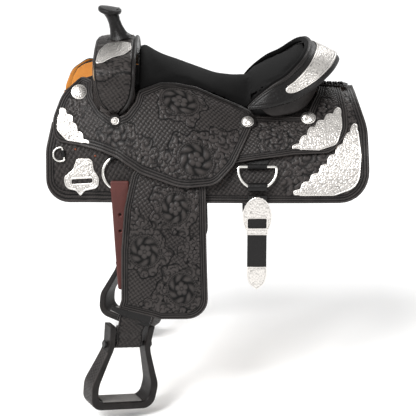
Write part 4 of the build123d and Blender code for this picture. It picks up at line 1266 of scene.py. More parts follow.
def inflate(piece, pressure, cap, voxel):
    """Swell a pad with a short cloth simulation and keep the result in the mesh."""
    scene = bpy.context.scene
    bpy.context.view_layer.objects.active = piece
    piece.select_set(True)
    remesh = piece.modifiers.new("remesh", "REMESH")
    remesh.mode = "VOXEL"
    remesh.voxel_size = voxel
    bpy.ops.object.modifier_apply(modifier=remesh.name)
    start = np.empty(len(piece.data.vertices) * 3)
    piece.data.vertices.foreach_get("co", start)
    cloth = piece.modifiers.new("cloth", "CLOTH")
    cloth.settings.quality = 6
    cloth.settings.mass = 0.25
    cloth.settings.tension_stiffness = 30
    cloth.settings.compression_stiffness = 30
    cloth.settings.bending_stiffness = 2.5
    cloth.settings.use_pressure = True
    cloth.settings.uniform_pressure_force = pressure
    cloth.settings.effector_weights.gravity = 0
    cloth.collision_settings.use_self_collision = False
    for frame_number in range(1, 21):
        scene.frame_set(frame_number)
    bpy.ops.object.modifier_apply(modifier=cloth.name)
    end = np.empty_like(start)
    piece.data.vertices.foreach_get("co", end)
    move = (end - start).reshape(-1, 3)
    length = np.maximum(np.linalg.norm(move, axis=1, keepdims=True), 1e-9)
    move *= np.minimum(1.0, cap / length)
    piece.data.vertices.foreach_set("co", (start.reshape(-1, 3) + move).ravel())
    scene.frame_set(1)
    smooth = piece.modifiers.new("smooth", "SMOOTH")
    smooth.factor = 0.5
    smooth.iterations = 4
    bpy.ops.object.modifier_apply(modifier=smooth.name)
    divide = piece.modifiers.new("divide", "SUBSURF")
    divide.levels = divide.render_levels = 1
    bpy.ops.object.modifier_apply(modifier=divide.name)
    for polygon in piece.data.polygons:
        polygon.use_smooth = True
    piece.select_set(False)


def make_seat():
    points, groups, tool = seat_shape(2.0)
    piece = make_mesh("seat_suede", points, groups, tool)
    inflate(piece, 4.0, 0.004, 0.0045)
    finish_piece(piece, "saddle", ["seat_pad"])


# ---------------------------------------------------------------- cantle
CANTLE_SECTIONS = [
    ((238, 0, 124), (310, 0, 92), 24, 34),
    ((233, 60, 121), (299, 58, 85), 20, 31),
    ((223, 100, 111), (281, 99, 73), 14, 12),
    ((207, 125, 96), (252, 133, 54), 6, -6),
    ((179, 145, 73), (221, 152, 37), 0, -12),
    ((149, 155, 57), (185, 166, 22), -6, -14),
    ((121, 160, 38), (141, 172, 11), -10, -8),
    ((103, 161, 23), (113, 169, 6), -8, 2),
    ((89, 160, 9), (92, 163, 4), -6, 2),
]


def cantle_lines(count):
    """Smooth inner and outer rim lines and base numbers from the near front end round to the off one."""
    near = [(i[0], -i[1], i[2], o[0], -o[1], o[2], r, b) for i, o, r, b in CANTLE_SECTIONS[::-1]]
    off = [(i[0], i[1], i[2], o[0], o[1], o[2], r, b) for i, o, r, b in CANTLE_SECTIONS[1:]]
    keys = np.array(near + off, float)
    table = np.concatenate([curve(keys[:, :3], count), curve(keys[:, 3:6], count)], axis=1)
    rest = curve(np.stack([keys[:, 6], keys[:, 7], keys[:, 6] * 0], -1), count)
    return table[:, :3], table[:, 3:6], rest[:, 0], rest[:, 1]


def rim_frames(inner, outer):
    across = outer - inner
    width = np.linalg.norm(across, axis=1, keepdims=True)
    across = across / width
    along = np.gradient(inner, axis=0)
    along /= np.linalg.norm(along, axis=1, keepdims=True)
    up = np.cross(along, across)
    up /= np.linalg.norm(up, axis=1, keepdims=True)
    up *= np.where(up[:, 2:] < 0, -1, 1)
    return across, up, width[:, 0]


def make_cantle():
    count = 241
    inner, outer, reach, base = cantle_lines(count)
    across, up, width = rim_frames(inner, outer)
    run = np.concatenate([[0], np.cumsum(np.linalg.norm(np.diff(0.5 * (inner + outer), axis=0), axis=1))])
    run -= run[-1] / 2

    # the roll: a cushioned flange, crowned on top and rolled under at its outer edge
    shape = [
        (0.00, -2.0), (0.04, 0.6), (0.16, 1.2), (0.34, 1.4), (0.55, 1.4), (0.74, 1.0), (0.88, -0.4), (0.97, -3.2),
        (1.00, -6.0), (0.975, -8.6), (0.90, -10.2), (0.74, -10.6), (0.50, -11.0), (0.25, -11.4), (0.06, -11.6), (0.00, -9.0),
    ]
    loop = curve([(a, b, 0) for a, b in shape], 56, closed=True)
    rows = []
    for k in range(count):
        taper = np.interp(width[k], (8, 26, 44), (0.35, 0.62, 1.0))
        ring = inner[k] + (loop[:, 0] * width[k])[:, None] * across[k] + (loop[:, 1] * taper)[:, None] * up[k]
        rows.append(ring)
    rows = np.array(rows)
    seeds = seeds_in((-420, -10), (420, 100), 15, 41)

    def relief(grid):
        u = np.repeat(run[:, None], grid.shape[1], axis=1)
        part = np.repeat(loop[None, :, 0], count, axis=0)
        level = np.repeat(loop[None, :, 1], count, axis=0)
        top = (level > -1) & (part > 0.05)
        v = part * width[:, None]
        leaf = scrolls(u.ravel(), v.ravel(), seeds, 15).reshape(u.shape)
        low = soft_step(np.abs(u), 150, 158) * np.clip(1 - (np.abs(u) - 245) / 10, 0, 1)
        line = np.clip(1 - np.abs(v - 6.5) / 1.6, 0, 1) + np.clip(1 - np.abs(width[:, None] - v - 9) / 1.6, 0, 1)
        face = soft_step(v, 8.5, 10) * soft_step(width[:, None] - v, 11, 13)
        pattern = 0.85 - 0.75 * (1 - leaf) * low * face - 0.6 * np.clip(line, 0, 1)
        pattern = np.where(top, pattern, 0.6)
        return np.where(top, 1.1 * (pattern - 0.85), 0), pattern

    roll = grid_geometry(rows, "smooth", relief=relief)
    finish_piece(make_mesh("cheyenne_roll_leather", *roll), "saddle", ["cheyenne_roll"])

    # rolled binding where the suede meets the roll, wound with thong
    path = inner + up * 0.5 - across * 1.0
    angles_run = run

    def thong(grid):
        turn = np.linspace(0, 2 * np.pi, grid.shape[1], endpoint=False)[None, :]
        wind = np.abs(np.sin(angles_run[:, None] * np.pi / 5.2 + turn / 2))
        return 0.8 * (wind**0.5 - 0.8), wind

    radius = np.interp(np.abs(run), (run[-1] - 110, run[-1]), (5.0, 1.2))
    path = path - up * (5.0 - radius)[:, None] * 0.8
    bead = tube_geometry(path, radius, "edge", 20, relief=thong)
    finish_piece(make_mesh("cantle_rolled_binding", *bead), "saddle")

    # the suede rolled over its edge, just inside the binding
    lining = tube_geometry(inner - across * 6.0 - up * 4.5, np.minimum(radius * 1.3, 6.0), "suede", 14)
    finish_piece(make_mesh("seat_suede_edge", *lining), "saddle")

    # silver plate over the roll with rounded lower ends
    def plate_place(uv):
        k = np.interp(uv[:, 0], run, np.arange(count))
        low = np.floor(k).astype(int).clip(0, count - 2)
        t = (k - low)[:, None]

        def mix(a):
            return a[low] * (1 - t) + a[low + 1] * t

        w = mix(width[:, None])
        return mix(inner) + mix(across) * (w * uv[:, 1:2]) + mix(up) * (1.5 + 1.2 * np.sin(np.pi * uv[:, 1:2]))

    def plate_normals(uv):
        k = np.rint(np.interp(uv[:, 0], run, np.arange(count))).astype(int)
        return up[k]

    half_run = 214.0
    scale = 60.0
    corners = []
    for side in (-1, 1):
        for u in side * half_run * np.sin(np.linspace(-math.pi / 2, math.pi / 2, 80)):
            middle = np.interp(abs(u), (0, 90, 150, 205), (0.53, 0.52, 0.52, 0.50))
            half = np.interp(abs(u), (0, 90, 150, 205), (0.33, 0.32, 0.27, 0.20))
            half *= math.sqrt(max(0.0, 1 - max(0.0, (abs(u) - 196) / 18) ** 2))
            corners.append((u, middle + side * half))
    outline = np.array(corners) * np.array([1, scale])
    outline = even(outline, 1.3)
    seeds = engraved(43, outline.min(0), outline.max(0))
    geometry = sheet_geometry(
        [outline],
        lambda uv: plate_place(uv / np.array([1, scale])),
        plate_normals,
        1.8, seeds, 1.2, top="silver", under="silver", edge="polished",
    )
    finish_piece(make_mesh("cantle_silver", *geometry), "saddle", ["cantle_plate"])

    # leather down the back of the cantle
    back = []
    for k in range(9, count - 9, 3):
        part = np.interp(width[k], (18, 60), (0.12, 0.45))
        top = inner[k] + across[k] * part * width[k] - up[k] * 10.5
        level = np.array([across[k][0], across[k][1], 0])
        level /= np.linalg.norm(level)
        foot = inner[k] * np.array([1, 1, 0]) + level * reach[k] + np.array([0, 0, base[k]])
        ending = soft_step(np.array(min(k, count - 1 - k)), 6, 50)
        foot = top + (foot - top) * (0.12 + 0.88 * ending)
        outside = [top + (foot - top) * t + level * (3.0 * math.sin(math.pi * t)) for t in np.linspace(0, 1, 18)]
        inside = [p - level * min(4.5, 1.5 + 3.0 * ending) for p in outside[::-1]]
        back.append(outside + inside)
    geometry = grid_geometry(np.array(back), "black")
    finish_piece(
        make_mesh("cantle_back_leather", *geometry), "saddle", ["cantle_back", "cantle_board"]
    )


# ---------------------------------------------------------------- fender, stirrup leathers and neck
LEATHER_LEAN = math.radians(20)
LEATHER_PIVOT = (-100.0, -187.1, -50.0)
FENDER_INNER = 253.0
FENDER_THICK = 5.0
FENDER_OUTLINE = [
    (-140, -46, 14), (-60, -46, 14), (-58, -98, 24), (-14, -134, 24), (-5, -165, 20), (-3, -300, 0),
    (1, -466, 60), (-110, -467, 30), (-124, -462, 3), (-205, -441, 6), (-198, -420, 30), (-196, -300, 60),
    (-188, -205, 20), (-178, -160, 30), (-170, -130, 24), (-143, -98, 24),
]


def fender_face(z):
    """Inner |y| and outward lean of the fender at height z, with a soft bend."""
    bend = LEATHER_PIVOT[2] - (FENDER_INNER + LEATHER_PIVOT[1]) / math.tan(LEATHER_LEAN)
    lean = LEATHER_LEAN * soft_step(z, bend - 22, bend + 22)
    leaning = -LEATHER_PIVOT[1] + (LEATHER_PIVOT[2] - z) * math.tan(LEATHER_LEAN)
    soft = 7.0
    y = -soft * np.log(np.exp(-leaning / soft) + np.exp(-FENDER_INNER / soft))
    return y, lean


def make_fenders():
    base = leaf_clusters([
        ((-74, -205), 58), ((-143, -302), 58), ((-60, -392), 60), ((-30, -300), 36), ((-24, -180), 34),
        ((-120, -440), 34), ((-170, -235), 30), ((-30, -445), 34),
    ], 18, (-220, -480), (20, -40), 51)
    medals = [((-74, -205), 34, 0.3, 1.05), ((-143, -302), 36, 1.1, 1.1), ((-60, -392), 34, 2.1, 1.2)]
    outline = rounded(FENDER_OUTLINE)

    def place(uv):
        y, _ = fender_face(uv[:, 1])
        return np.stack([uv[:, 0], -y, uv[:, 1]], -1)

    def normals(uv):
        _, lean = fender_face(uv[:, 1])
        return np.stack([np.zeros(len(uv)), -np.cos(lean), np.sin(lean)], -1)

    geometry = sheet_geometry(
        [outline], place, normals, FENDER_THICK, carved(1.8, base, medals, 15.0), 1.55, under="smooth"
    )
    for side in (NEAR, OFF):
        word = side_name(side)
        p, g = flipped(geometry[0], geometry[1], side)
        piece = make_mesh(f"{word}_fender_leather", p, g, geometry[2])
        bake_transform(piece)
        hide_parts(f"{word}_upper_leather", f"{word}_fender")


STRAP_TOP = np.array((-100.0, -243.0, -228.0))
BOLT_CENTRE = np.array((-187.0, -248.0, -531.0))
STRAP_DOWN = np.array((-87.0, 0.0, -303.0)) / math.hypot(87, 303)
STRAP_ACROSS = np.array((-STRAP_DOWN[2], 0, STRAP_DOWN[0]))
STIRRUP_YAW = math.radians(28)
STIRRUP_ROLL = math.radians(10)
FLAT_ACROSS = np.array((-math.cos(STIRRUP_YAW), -math.sin(STIRRUP_YAW), 0))
UP = np.array((0, 0, 1.0)) * math.cos(STIRRUP_ROLL) - FLAT_ACROSS * math.sin(STIRRUP_ROLL)
ACROSS = FLAT_ACROSS * math.cos(STIRRUP_ROLL) + np.array((0, 0, 1.0)) * math.sin(STIRRUP_ROLL)
DEPTH = np.cross(ACROSS, UP)


def strap_section(half_width, half_thick, sides=10):
    """Rounded flat strap section: (across, out) points round it."""
    turn = np.linspace(-np.pi / 2, np.pi / 2, sides)
    r = half_thick
    right = [(half_width - r + r * math.cos(a), r * math.sin(a)) for a in turn]
    top = [(x, half_thick) for x in np.linspace(half_width - r, -half_width + r, 16)[1:-1]]
    left = [(-half_width + r - r * math.cos(a), r * math.sin(a)) for a in turn[::-1]]
    low = [(x, -half_thick) for x in np.linspace(-half_width + r, half_width - r, 16)[1:-1]]
    return np.array(right + top + left + low)


def make_stirrup_leathers():
    # the lower stirrup leather behind the fender, flat
    section = strap_section(37.5, 2.4)
    rows = []
    for s in np.linspace(12, 262, 90):
        centre = STRAP_TOP + STRAP_DOWN * s + np.array((0, -2.5, 0))
        rows.append(centre + section[:, :1] * STRAP_ACROSS + section[:, 1:] * np.array((0, -1.0, 0)))
    strap = grid_geometry(np.array(rows), "smooth")
    put_sides(
        "lower_stirrup_leather", strap, ("near_fender", "off_fender"), ["{side}_stirrup_leather"]
    )

    # the neck: twice through the hobble strap, turning out to the stirrup and round its bolt
    def neck_pair(outward):
        section = strap_section(33.0, 2.4)
        start = STRAP_TOP + STRAP_DOWN * 216 + np.array((0, -3.0 if outward > 0 else -7.8, 0))
        stop = BOLT_CENTRE + UP * 20
        rows = []
        for t in np.linspace(0, 1, 110):
            turn = soft_step(np.array(t), 0.25, 1.0)
            centre = start + (stop - start) * t
            sideways = STRAP_ACROSS * (1 - turn) - ACROSS * turn
            sideways /= np.linalg.norm(sideways)
            down = STRAP_DOWN * (1 - turn) - UP * turn
            out = np.cross(down, sideways)
            out /= np.linalg.norm(out)
            if out[1] > 0:
                out = -out
            centre = centre + out * (outward * (4.0 * turn**2))
            width = 1 + 0.06 * math.cos(math.pi * t)
            rows.append(centre + section[:, :1] * width * sideways + section[:, 1:] * out)
        return rows

    # one loop in the stirrup's own plane, following the bolt
    section = strap_section(33.0, 2.4)
    loop = []
    radius = 10.0
    for h in np.linspace(44, 8, 12):
        loop.append((-3.0 - 7.0 * soft_step(np.array(-h), -34, -10), h))
    for a in np.linspace(0, np.pi, 22)[1:-1]:
        loop.append((-radius * math.cos(a), 8 - radius * math.sin(a) * 1.15 - 4 * math.sin(a)))
    for h in np.linspace(8, 44, 12):
        loop.append((3.0 + 7.0 * soft_step(np.array(-h), -34, -10), h))
    line = np.array([BOLT_CENTRE + DEPTH * float(d) + UP * float(h) for d, h in loop])
    along = np.gradient(line, axis=0)
    along /= np.linalg.norm(along, axis=1, keepdims=True)
    rows = []
    for p, t in zip(line, along):
        out = np.cross(ACROSS, t)
        rows.append(p + section[:, :1] * ACROSS + section[:, 1:] * out)
    rows = np.array(rows)
    lengths = np.concatenate([[0], np.cumsum(np.linalg.norm(np.diff(line, axis=0), axis=1))])

    def stamped(grid):
        u = np.repeat(section[None, :, 0], len(grid), axis=0)
        v = np.repeat(lengths[:, None], grid.shape[1], axis=1)
        height = basket(u.ravel(), v.ravel(), 8.0).reshape(u.shape)
        inside = soft_step(33 - np.abs(u), 5, 7)
        height = height * inside + edge_lines(33 - np.abs(u), 7) * (1 - inside)
        return 1.0 * (height - 1), height

    fine = []
    for k in range(len(rows) - 1):
        for t in np.linspace(0, 1, 3)[:-1]:
            fine.append(rows[k] * (1 - t) + rows[k + 1] * t)
    fine.append(rows[-1])
    lengths = np.interp(np.linspace(0, 1, len(fine)), np.linspace(0, 1, len(lengths)), lengths)
    neck = grid_geometry(np.array(fine), "black", relief=stamped)
    put_sides("neck_leather", neck, ("near_neck", "off_neck"), ["{side}_neck_loop"])

    # the twisting part between the hobble strap and the loop
    def twist_stamped(grid):
        u = np.repeat(section[None, :, 0], len(grid), axis=0)
        v = np.repeat(np.linspace(0, 88, len(grid))[:, None], grid.shape[1], axis=1)
        height = basket(u.ravel(), v.ravel(), 8.0).reshape(u.shape)
        inside = soft_step(33 - np.abs(u), 5, 7)
        height = height * inside + edge_lines(33 - np.abs(u), 7) * (1 - inside)
        return 0.9 * (height - 1), height

    halves = [grid_geometry(np.array(neck_pair(way)), "black", relief=twist_stamped) for way in (1, -1)]
    twist = joined(halves)
    for side in (NEAR, OFF):
        word = side_name(side)
        p, g = flipped(twist[0], twist[1], side)
        piece = make_mesh(f"{word}_neck_twist", p, g, twist[2])
        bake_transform(piece)

    # the hobble strap, buckled round the neck, with its tail
    centre = STRAP_TOP + STRAP_DOWN * 239.5 + np.array((0, -4.8, 0))
    ring = []
    for a in np.linspace(0, 2 * np.pi, 72, endpoint=False):
        c, s = math.cos(a), math.sin(a)
        power = 0.42
        x = 36.5 * math.copysign(abs(c) ** power, c)
        y = 8.0 * math.copysign(abs(s) ** power, s)
        ring.append(centre + x * STRAP_ACROSS + np.array((0, y, 0)))
    ring = np.array(ring)
    along = np.roll(ring, -1, axis=0) - np.roll(ring, 1, axis=0)
    along /= np.linalg.norm(along, axis=1, keepdims=True)
    section = strap_section(9.5, 1.4, 5)
    rows = []
    for p, t in zip(ring, along):
        out = np.cross(STRAP_DOWN, t)
        rows.append(p + section[:, :1] * STRAP_DOWN + section[:, 1:] * out)
    parts = [grid_geometry(np.array(rows), "smooth", close_rows=True)]
    tail = []
    for t in np.linspace(0, 1, 18):
        p = centre + STRAP_ACROSS * (-20 - 36 * t) + np.array((0, -9.6 - 6 * t * t, 0)) + np.array((0, 0, 7 * t * t))
        w = 8.5 * (1 - 0.35 * t)
        tail.append(p + (section[:, :1] * w / 9.5) * STRAP_DOWN + section[:, 1:] * np.array((0, -1.0, 0)))
    parts.append(grid_geometry(np.array(tail), "smooth"))
    put_sides("hobble_leather", joined(parts), ("near_fender", "off_fender"), ["{side}_hobble_strap"])


# ---------------------------------------------------------------- stirrup
STIRRUP_OUTER = [
    (57, 51, 4), (52, -5, 60), (86, -95, 50), (80, -154, 42), (-80, -154, 42), (-86, -95, 50), (-52, -5, 60),
    (-57, 51, 4),
]
STIRRUP_INNER = [
    (44, 70, 0), (38.5, -5, 60), (68, -95, 60), (64, -136, 22), (-64, -136, 22), (-68, -95, 60),
    (-38.5, -5, 60), (-44, 70, 0),
]


def half_profile(corners):
    """The part of a stirrup outline from its +across top round the tread to its other top."""
    path = rounded(corners, 2.0)
    keep = path[path[:, 1] < 47]
    angle = np.arctan2(keep[:, 0], -(keep[:, 1] + 60))
    return keep[np.argsort(angle)]


def make_stirrups():
    outer, inner = half_profile(STIRRUP_OUTER), half_profile(STIRRUP_INNER)
    count = 420

    def resample(path):
        run = np.concatenate([[0], np.cumsum(np.linalg.norm(np.diff(path, axis=0), axis=1))])
        t = np.linspace(0, run[-1], count)
        return np.stack([np.interp(t, run, path[:, 0]), np.interp(t, run, path[:, 1])], -1)

    outer, inner = resample(outer), resample(inner)
    drop = (-0.5 * (outer[:, 1] + inner[:, 1]))
    depth = 19 + 8 * soft_step(drop, 10, 120)
    shape = curve([(a, b, 0) for a, b in (
        (0.0, -0.8), (0.0, -0.3), (0.0, 0.3), (0.0, 0.8), (0.10, 0.97), (0.32, 1.0), (0.68, 1.0), (0.90, 0.97),
        (1.0, 0.8), (1.0, 0.3), (1.0, -0.3), (1.0, -0.8), (0.90, -0.97), (0.68, -1.0), (0.32, -1.0), (0.10, -0.97),
    )], 112, closed=True)
    rows = []
    for k in range(count):
        centre = inner[k][None, :] + (outer[k] - inner[k])[None, :] * shape[:, :1]
        side = shape[:, 1:2] * depth[k]
        rows.append(BOLT_CENTRE + centre[:, :1] * ACROSS + centre[:, 1:2] * UP + side * DEPTH)
    run = np.concatenate([[0], np.cumsum(np.linalg.norm(np.diff(outer, axis=0), axis=1))])

    def relief(grid):
        u = np.repeat(run[:, None], grid.shape[1], axis=1)
        v = np.repeat(shape[None, :, 1], count, axis=0) * depth[:, None]
        part = np.repeat(shape[None, :, 0], count, axis=0)
        woven = basket(u.ravel(), v.ravel(), 7.0).reshape(u.shape)
        outside = (part > 0.93) & (drop[:, None] > 12) & (drop[:, None] < 150)
        edge = depth[:, None] - np.abs(v)
        inside = soft_step(edge, 3.5, 5)
        pattern = woven * inside + (1 - inside) * 0.9
        pattern = np.where(outside, pattern, 0.36)
        return np.where(outside, 1.1 * (pattern - 1), 0.0), pattern

    geometry = grid_geometry(np.array(rows), "black", relief=relief)
    put_sides("stirrup_leather_covered", geometry, ("near_stirrup", "off_stirrup"), ["{side}_stirrup"])

    # the tread: a lighter grey pad on top of the bottom bar
    tread = []
    for t in np.linspace(-1, 1, 40):
        centre = BOLT_CENTRE + ACROSS * (50 * t) + UP * (-135.0)
        ring = strap_section(21.0, 1.6, 5)
        tread.append(centre + ring[:, :1] * DEPTH + ring[:, 1:] * UP)
    geometry = grid_geometry(np.array(tread), "tread")
    put_sides("stirrup_tread", geometry, ("near_stirrup", "off_stirrup"), ())


# ---------------------------------------------------------------- latigo and flank billets
RING_CENTRE = np.array((-199.0, -204.7, -132.0))
RING_R = 38.0
RING_LEAN = math.radians(15.7)
RING_DOWN = np.array((0, -math.sin(RING_LEAN), -math.cos(RING_LEAN)))


def make_latigo():
    """Latigo: folded over the ring's foot and hanging straight, punched with two holes."""
    half = 21.0
    holes = (-226.0, -265.0)
    foot = RING_CENTRE + RING_DOWN * RING_R
    outline = rounded([
        (-half, -147, 4), (half, -147, 4), (half, -360, 60), (half - 3, -405, 8), (-half + 13, -409, 6),
        (-half + 9, -330, 90),
    ], 2.0)
    hole_radius = 3.2
    turns = np.linspace(0, 2 * np.pi, 24, endpoint=False)
    rings = [np.array([(hole_radius * math.cos(a), z + hole_radius * math.sin(a)) for a in turns]) for z in holes]

    def place(uv):
        y = np.interp(uv[:, 1], (-409, -300, -200, -160), (216.2, 216.2, 216.4, 216.2))
        return np.stack([RING_CENTRE[0] + uv[:, 0], -y, uv[:, 1]], -1)

    def normals(uv):
        return np.repeat(np.array([[0, -1.0, 0]]), len(uv), axis=0)

    geometry = sheet_geometry(
        [outline] + rings, place, normals, 5.6, plain(), 1.6, top="latigo", under="latigo", edge="latigo"
    )
    patch = rounded([(-18, -214, 3), (18, -214, 3), (18, -278, 3), (-14, -278, 3)], 2.0)
    backing = sheet_geometry(
        [patch], lambda uv: place(uv) + np.array((0, 1.3, 0)), normals, 1.4, plain(0.0), 3.0,
        top="latigo", under="latigo", edge="latigo",
    )
    section = strap_section(half, 1.4, 5)
    loop = []
    for a in np.linspace(math.radians(-60), math.radians(240), 40):
        centre = foot + 4.9 * np.array((0, math.cos(a), math.sin(a)))
        out = np.array((0, math.cos(a), math.sin(a)))
        loop.append(centre + section[:, :1] * np.array((1.0, 0, 0)) + section[:, 1:] * out)
    fold = grid_geometry(np.array(loop), "latigo")
    both = joined([geometry, backing, fold])
    finish_piece(make_mesh("near_latigo_leather", *both), "near_latigo", ["near_latigo"])
    p, g = flipped(both[0], both[1], OFF)
    finish_piece(make_mesh("off_billet_leather", p, g, both[2]), "off_billet_strap", ["off_billet"])


DEE_PIVOT = np.array((111.0, -211.5, -116.0))
DEE_HALF_BAR = 43.0
DEE_DEPTH = 50.0
DEE_LEAN = math.radians(27.9)
BILLET_HALF = 22.0
BILLET_OUTER = 238.5
BILLET_THICK = 6.0


def make_billets():
    x0 = DEE_PIVOT[0]
    sag = DEE_HALF_BAR - math.sqrt(DEE_HALF_BAR**2 - BILLET_HALF**2)
    down = np.array((0, -math.sin(DEE_LEAN), -math.cos(DEE_LEAN)))
    pivot = DEE_PIVOT + down * (DEE_DEPTH - sag / 2)
    outline = rounded([
        (-22, -176, 0), (22, -176, 0), (22, -352, 4), (19, -376, 24), (0, -398, 5), (-19, -376, 24), (-22, -352, 4)
    ], 2.0)

    def place(uv):
        return np.stack([x0 + uv[:, 0], np.full(len(uv), -BILLET_OUTER + BILLET_THICK), uv[:, 1]], -1)

    def normals(uv):
        return np.repeat(np.array([[0, -1.0, 0]]), len(uv), axis=0)

    def stitched(uv, distance):
        groove = np.clip(1 - np.abs(distance - 3.5) / 0.9, 0, 1)
        dash = np.abs(np.sin(uv[:, 1] * np.pi / 4.0)) > 0.35
        level = 0.62 - 0.5 * groove + 0.55 * groove * dash
        return 0.5 * (level - 0.62), level

    strap = sheet_geometry([outline], place, normals, BILLET_THICK, stitched, 1.8, top="smooth", under="smooth")
    section = strap_section(BILLET_HALF, 1.3, 5)
    loop = []
    for a in np.linspace(math.radians(215), math.radians(-75), 40):
        out = np.array((0, math.cos(a), math.sin(a)))
        loop.append(pivot + 9.0 * out + section[:, :1] * np.array((1.0, 0, 0)) + section[:, 1:] * out)
    parts = joined([strap, grid_geometry(np.array(loop), "smooth")])
    put_sides("flank_billet_leather", parts, ("near_billet", "off_billet"), ["{side}_flank_billet"])

    # oval buckle with its window, engraved keeper bar and pointed tip
    angle = np.linspace(0, 2 * np.pi, 120, endpoint=False)
    scallop = 1 + 0.018 * np.abs(np.sin(14 * angle))
    oval = np.stack([33 * np.cos(angle) * scallop, -226 + 46.5 * np.sin(angle) * scallop], -1)
    oval[:, 1] = np.maximum(oval[:, 1], -263)
    window = rounded([(-21, -230, 2), (21, -230, 2), (21, -252, 2), (-21, -252, 2)], 1.2)
    bar = rounded([(-25, -252, 2), (25, -252, 2), (25, -268, 2), (-25, -268, 2)], 1.2)
    tip = rounded([
        (-23, -345, 2), (23, -345, 2), (23, -366, 16), (18, -386, 26), (0, -401, 3), (-18, -386, 26), (-23, -366, 16)
    ], 1.2)
    lift = BILLET_OUTER + 0.2

    def raised(uv):
        return np.stack([x0 + uv[:, 0], np.full(len(uv), -lift), uv[:, 1]], -1)

    def domed(relief, centre, reach, height):
        def shape(uv, distance):
            h, tool = relief(uv, distance)
            r = np.hypot((uv[:, 0] - centre[0]) / reach[0], (uv[:, 1] - centre[1]) / reach[1])
            return h + height * np.clip(1 - r**2, 0, 1), tool
        return shape

    look = dict(top="silver", under="polished", edge="polished")
    buckle = sheet_geometry(
        [oval, window], raised, normals, 2.2,
        domed(engraved(61, (-35, -275), (35, -178), 11.0), (0, -226), (34, 48), 1.6), 0.95, **look,
    )
    keeper = sheet_geometry(
        [bar], lambda uv: raised(uv) + np.array((0, -1.6, 0)), normals, 2.2,
        engraved(62, (-26, -268), (26, -253), 6.0, 0.4), 0.9, **look
    )
    point = sheet_geometry(
        [tip], raised, normals, 2.0,
        domed(engraved(63, (-24, -403), (24, -343), 11.0), (0, -370), (24, 34), 1.2), 0.95, **look,
    )
    put_sides(
        "flank_billet_silver", joined([buckle, keeper, point]), ("near_billet", "off_billet"),
        ["{side}_billet_silver"]
    )


# ---------------------------------------------------------------- conchos, rivets and spine lacing
# (x, height, offset of the leather below, radius)
CONCHOS = [(-293, 36, 6.0, 18), (-209, -17, 32.0, 9), (90, -27, 20.0, 14), (228, -22, 11.0, 17)]
ROSETTE_SUNK = 1.5
ROSETTE_MARGIN = 4.5
RIVETS = ((-300, -84), (-255, -98))
RIVET_RADIUS = 2.6


def side_spot(x, z, over):
    """The point of the near side at (x, z), `over` mm outside the skirt, and its outward direction."""
    v = drop_of(np.array([float(x)]), float(z), over)
    centre = on_side(np.array([float(x)]), v, over)[0]
    normal = side_normals(np.array([float(x)]), v, over)[0]
    return centre, (-normal if normal[1] > 0 else normal)


def concho_geometry(x, z, over, radius):
    centre, normal = side_spot(x, z, over)
    east = np.array((1.0, 0, 0)) - normal * normal[0]
    east /= np.linalg.norm(east)
    north = np.cross(normal, east)
    rings = np.concatenate([np.linspace(0.02, 0.72, 18), np.linspace(0.75, 1.0, 10)])
    angles = np.linspace(0, 2 * np.pi, 96, endpoint=False)
    rows, tools = [], []
    for r in rings:
        dome = 0.24 * radius * (1 - r**2) ** 0.8 if r < 1 else 0
        rim = 0.5 * math.exp(-((r - 0.93) / 0.04) ** 2)
        rays = 0.28 * np.cos(16 * angles) * soft_step(np.array(r), 0.25, 0.5) * (1 - soft_step(np.array(r), 0.72, 0.82))
        petals = 0.3 * np.cos(8 * angles) * (1 - soft_step(np.array(r), 0.2, 0.35)) * soft_step(np.array(r), 0.05, 0.12)
        edge = 1 + (0.025 * np.abs(np.sin(12 * angles)) if r > 0.9 else 0)
        height = 1.2 + dome + rim + rays + petals
        ring = (
            centre
            + (radius * r * edge * np.cos(angles))[:, None] * east
            + (radius * r * edge * np.sin(angles))[:, None] * north
        )
        rows.append(ring + height[:, None] * normal)
        tools.append(0.55 + 1.4 * (rays + petals) - 0.5 * math.exp(-((r - 0.83) / 0.03) ** 2))
    rows.append(rows[-1] - normal * 1.6)
    tools.append(tools[-1])
    rows.append(centre + (rows[-1] - centre) * 0.9)
    tools.append(tools[-1])
    tools = np.array(tools)
    return grid_geometry(np.array(rows), "silver", relief=lambda grid: (np.zeros(grid.shape[:2]), tools))


def make_conchos():
    parts = joined([concho_geometry(*row) for row in CONCHOS])
    put_sides("conchos_engraved", parts, nodes=["conchos"])
    rosettes = []
    for x, z, over, radius in CONCHOS[1:3]:
        centre, normal = side_spot(x, z, over - ROSETTE_SUNK)
        east = np.array((1.0, 0, 0))
        north = np.cross(normal, east)
        angles = np.linspace(0, 2 * np.pi, 80, endpoint=False)
        wave = 1 + 0.05 * np.abs(np.sin(8 * angles))
        rows = []
        for r, h in ((0.3, 0.0), (1.0, 0.0), (1.06, 1.0), (1.0, 2.2), (0.3, 2.4)):
            around = np.cos(angles)[:, None] * east + np.sin(angles)[:, None] * north
            rows.append(centre + ((radius + ROSETTE_MARGIN) * r * wave)[:, None] * around + h * normal)
        rosettes.append(grid_geometry(np.array(rows), "edge"))
    put_sides("concho_rosettes", joined(rosettes))
    rivets = []
    for x, z in RIVETS:
        centre, normal = side_spot(x, z, 0.2)
        east = np.array((1.0, 0, 0))
        north = np.cross(normal, east)
        angles = np.linspace(0, 2 * np.pi, 24, endpoint=False)
        rows = [centre + RIVET_RADIUS * r * (np.cos(angles)[:, None] * east + np.sin(angles)[:, None] * north) + h * normal
                for r, h in ((0.1, 0.0), (1.0, 0.0), (1.0, 0.8), (0.7, 1.6), (0.1, 1.9))]
        rivets.append(grid_geometry(np.array(rows), "copper"))
    put_sides("rigging_rivets", joined(rivets))


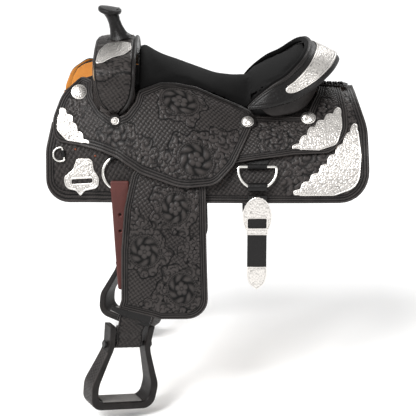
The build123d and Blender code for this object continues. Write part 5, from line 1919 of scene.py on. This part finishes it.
def make_spine():
    """Shaped leather over the spine where the rear jockeys meet, laced with a crossed thong."""
    outline = rounded([(264, -15, 7), (322, -17, 7), (330, 0, 6), (322, 17, 7), (264, 15, 7), (258, 0, 6)], 1.6)

    def place(uv):
        half, drop, crest = form(uv[:, 0])
        over = over_at(REAR_JOCKEY_OVER, uv[:, 0]) + JOCKEY_THICK + 0.2
        z = crest - drop + (drop + over) * np.sqrt(1 - (uv[:, 1] / (half + over)) ** 2)
        return np.stack([uv[:, 0], uv[:, 1], z], -1)

    def normals(uv):
        return np.repeat(np.array([[0, 0, 1.0]]), len(uv), axis=0)

    parts = [sheet_geometry([outline], place, normals, 2.6, carved(0.7, lambda u, v: basket(u, v, 7.0), (), 6.0), 1.3)]
    for k in range(4):
        x = 273 + 13 * k
        for sign in (-1, 1):
            path = []
            for t in np.linspace(-1, 1, 14):
                spot = place(np.array([[x + sign * 4.5 * t, 10 * t]]))[0]
                path.append(spot + np.array((0, 0, 3.0 + 1.6 * (1 - t * t) + (0.9 if sign > 0 else 0) * (1 - t * t))))
            parts.append(tube_geometry(path, 1.9, "thread", 8))
    finish_piece(make_mesh("spine_lacing_leather", *joined(parts)), "saddle", ["spine_lacing"])


# ---------------------------------------------------------------- CAD nodes that stay, and their finishes
def repaint(node, material):
    mesh = node.data
    mesh.materials.clear()
    mesh.materials.append(MATERIAL[material])


# The bars and the ground seat get black smooth leather instead of rawhide, so glimpses of them between the pieces are
# dark: painted shade
KEPT = {
    "near_bar": "smooth", "off_bar": "smooth", "fork": "wood", "ground_seat": "smooth",
    "horn_post": "core", "front_rings": "steel", "near_rear_dee": "steel", "off_rear_dee": "steel",
    "near_breast_dee": "steel", "off_breast_dee": "steel", "near_rigging": "smooth", "off_rigging": "smooth",
    "near_length_buckle": "steel", "off_length_buckle": "steel", "near_buckle_sleeve": "steel",
    "off_buckle_sleeve": "steel", "near_stirrup_bolt": "core", "off_stirrup_bolt": "core",
}


def main():
    make_materials()
    MATERIAL["copper"] = steel_material("copper_rivet", (0.22, 0.075, 0.045), 0.45)
    MATERIAL["tread"] = leather_material("light_grey_tread_leather", (0.05, 0.048, 0.046), (0.30, 0.29, 0.28), (0.40, 0.26))
    make_camera()
    make_studio()
    make_skirts()
    make_jockeys()
    make_silver()
    make_fork()
    make_horn()
    make_seat()
    make_cantle()
    make_fenders()
    make_stirrup_leathers()
    make_stirrups()
    make_latigo()
    make_billets()
    make_conchos()
    make_spine()
    for name, material in KEPT.items():
        repaint(bpy.data.objects[name] if name in bpy.data.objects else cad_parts[name], material)


main()
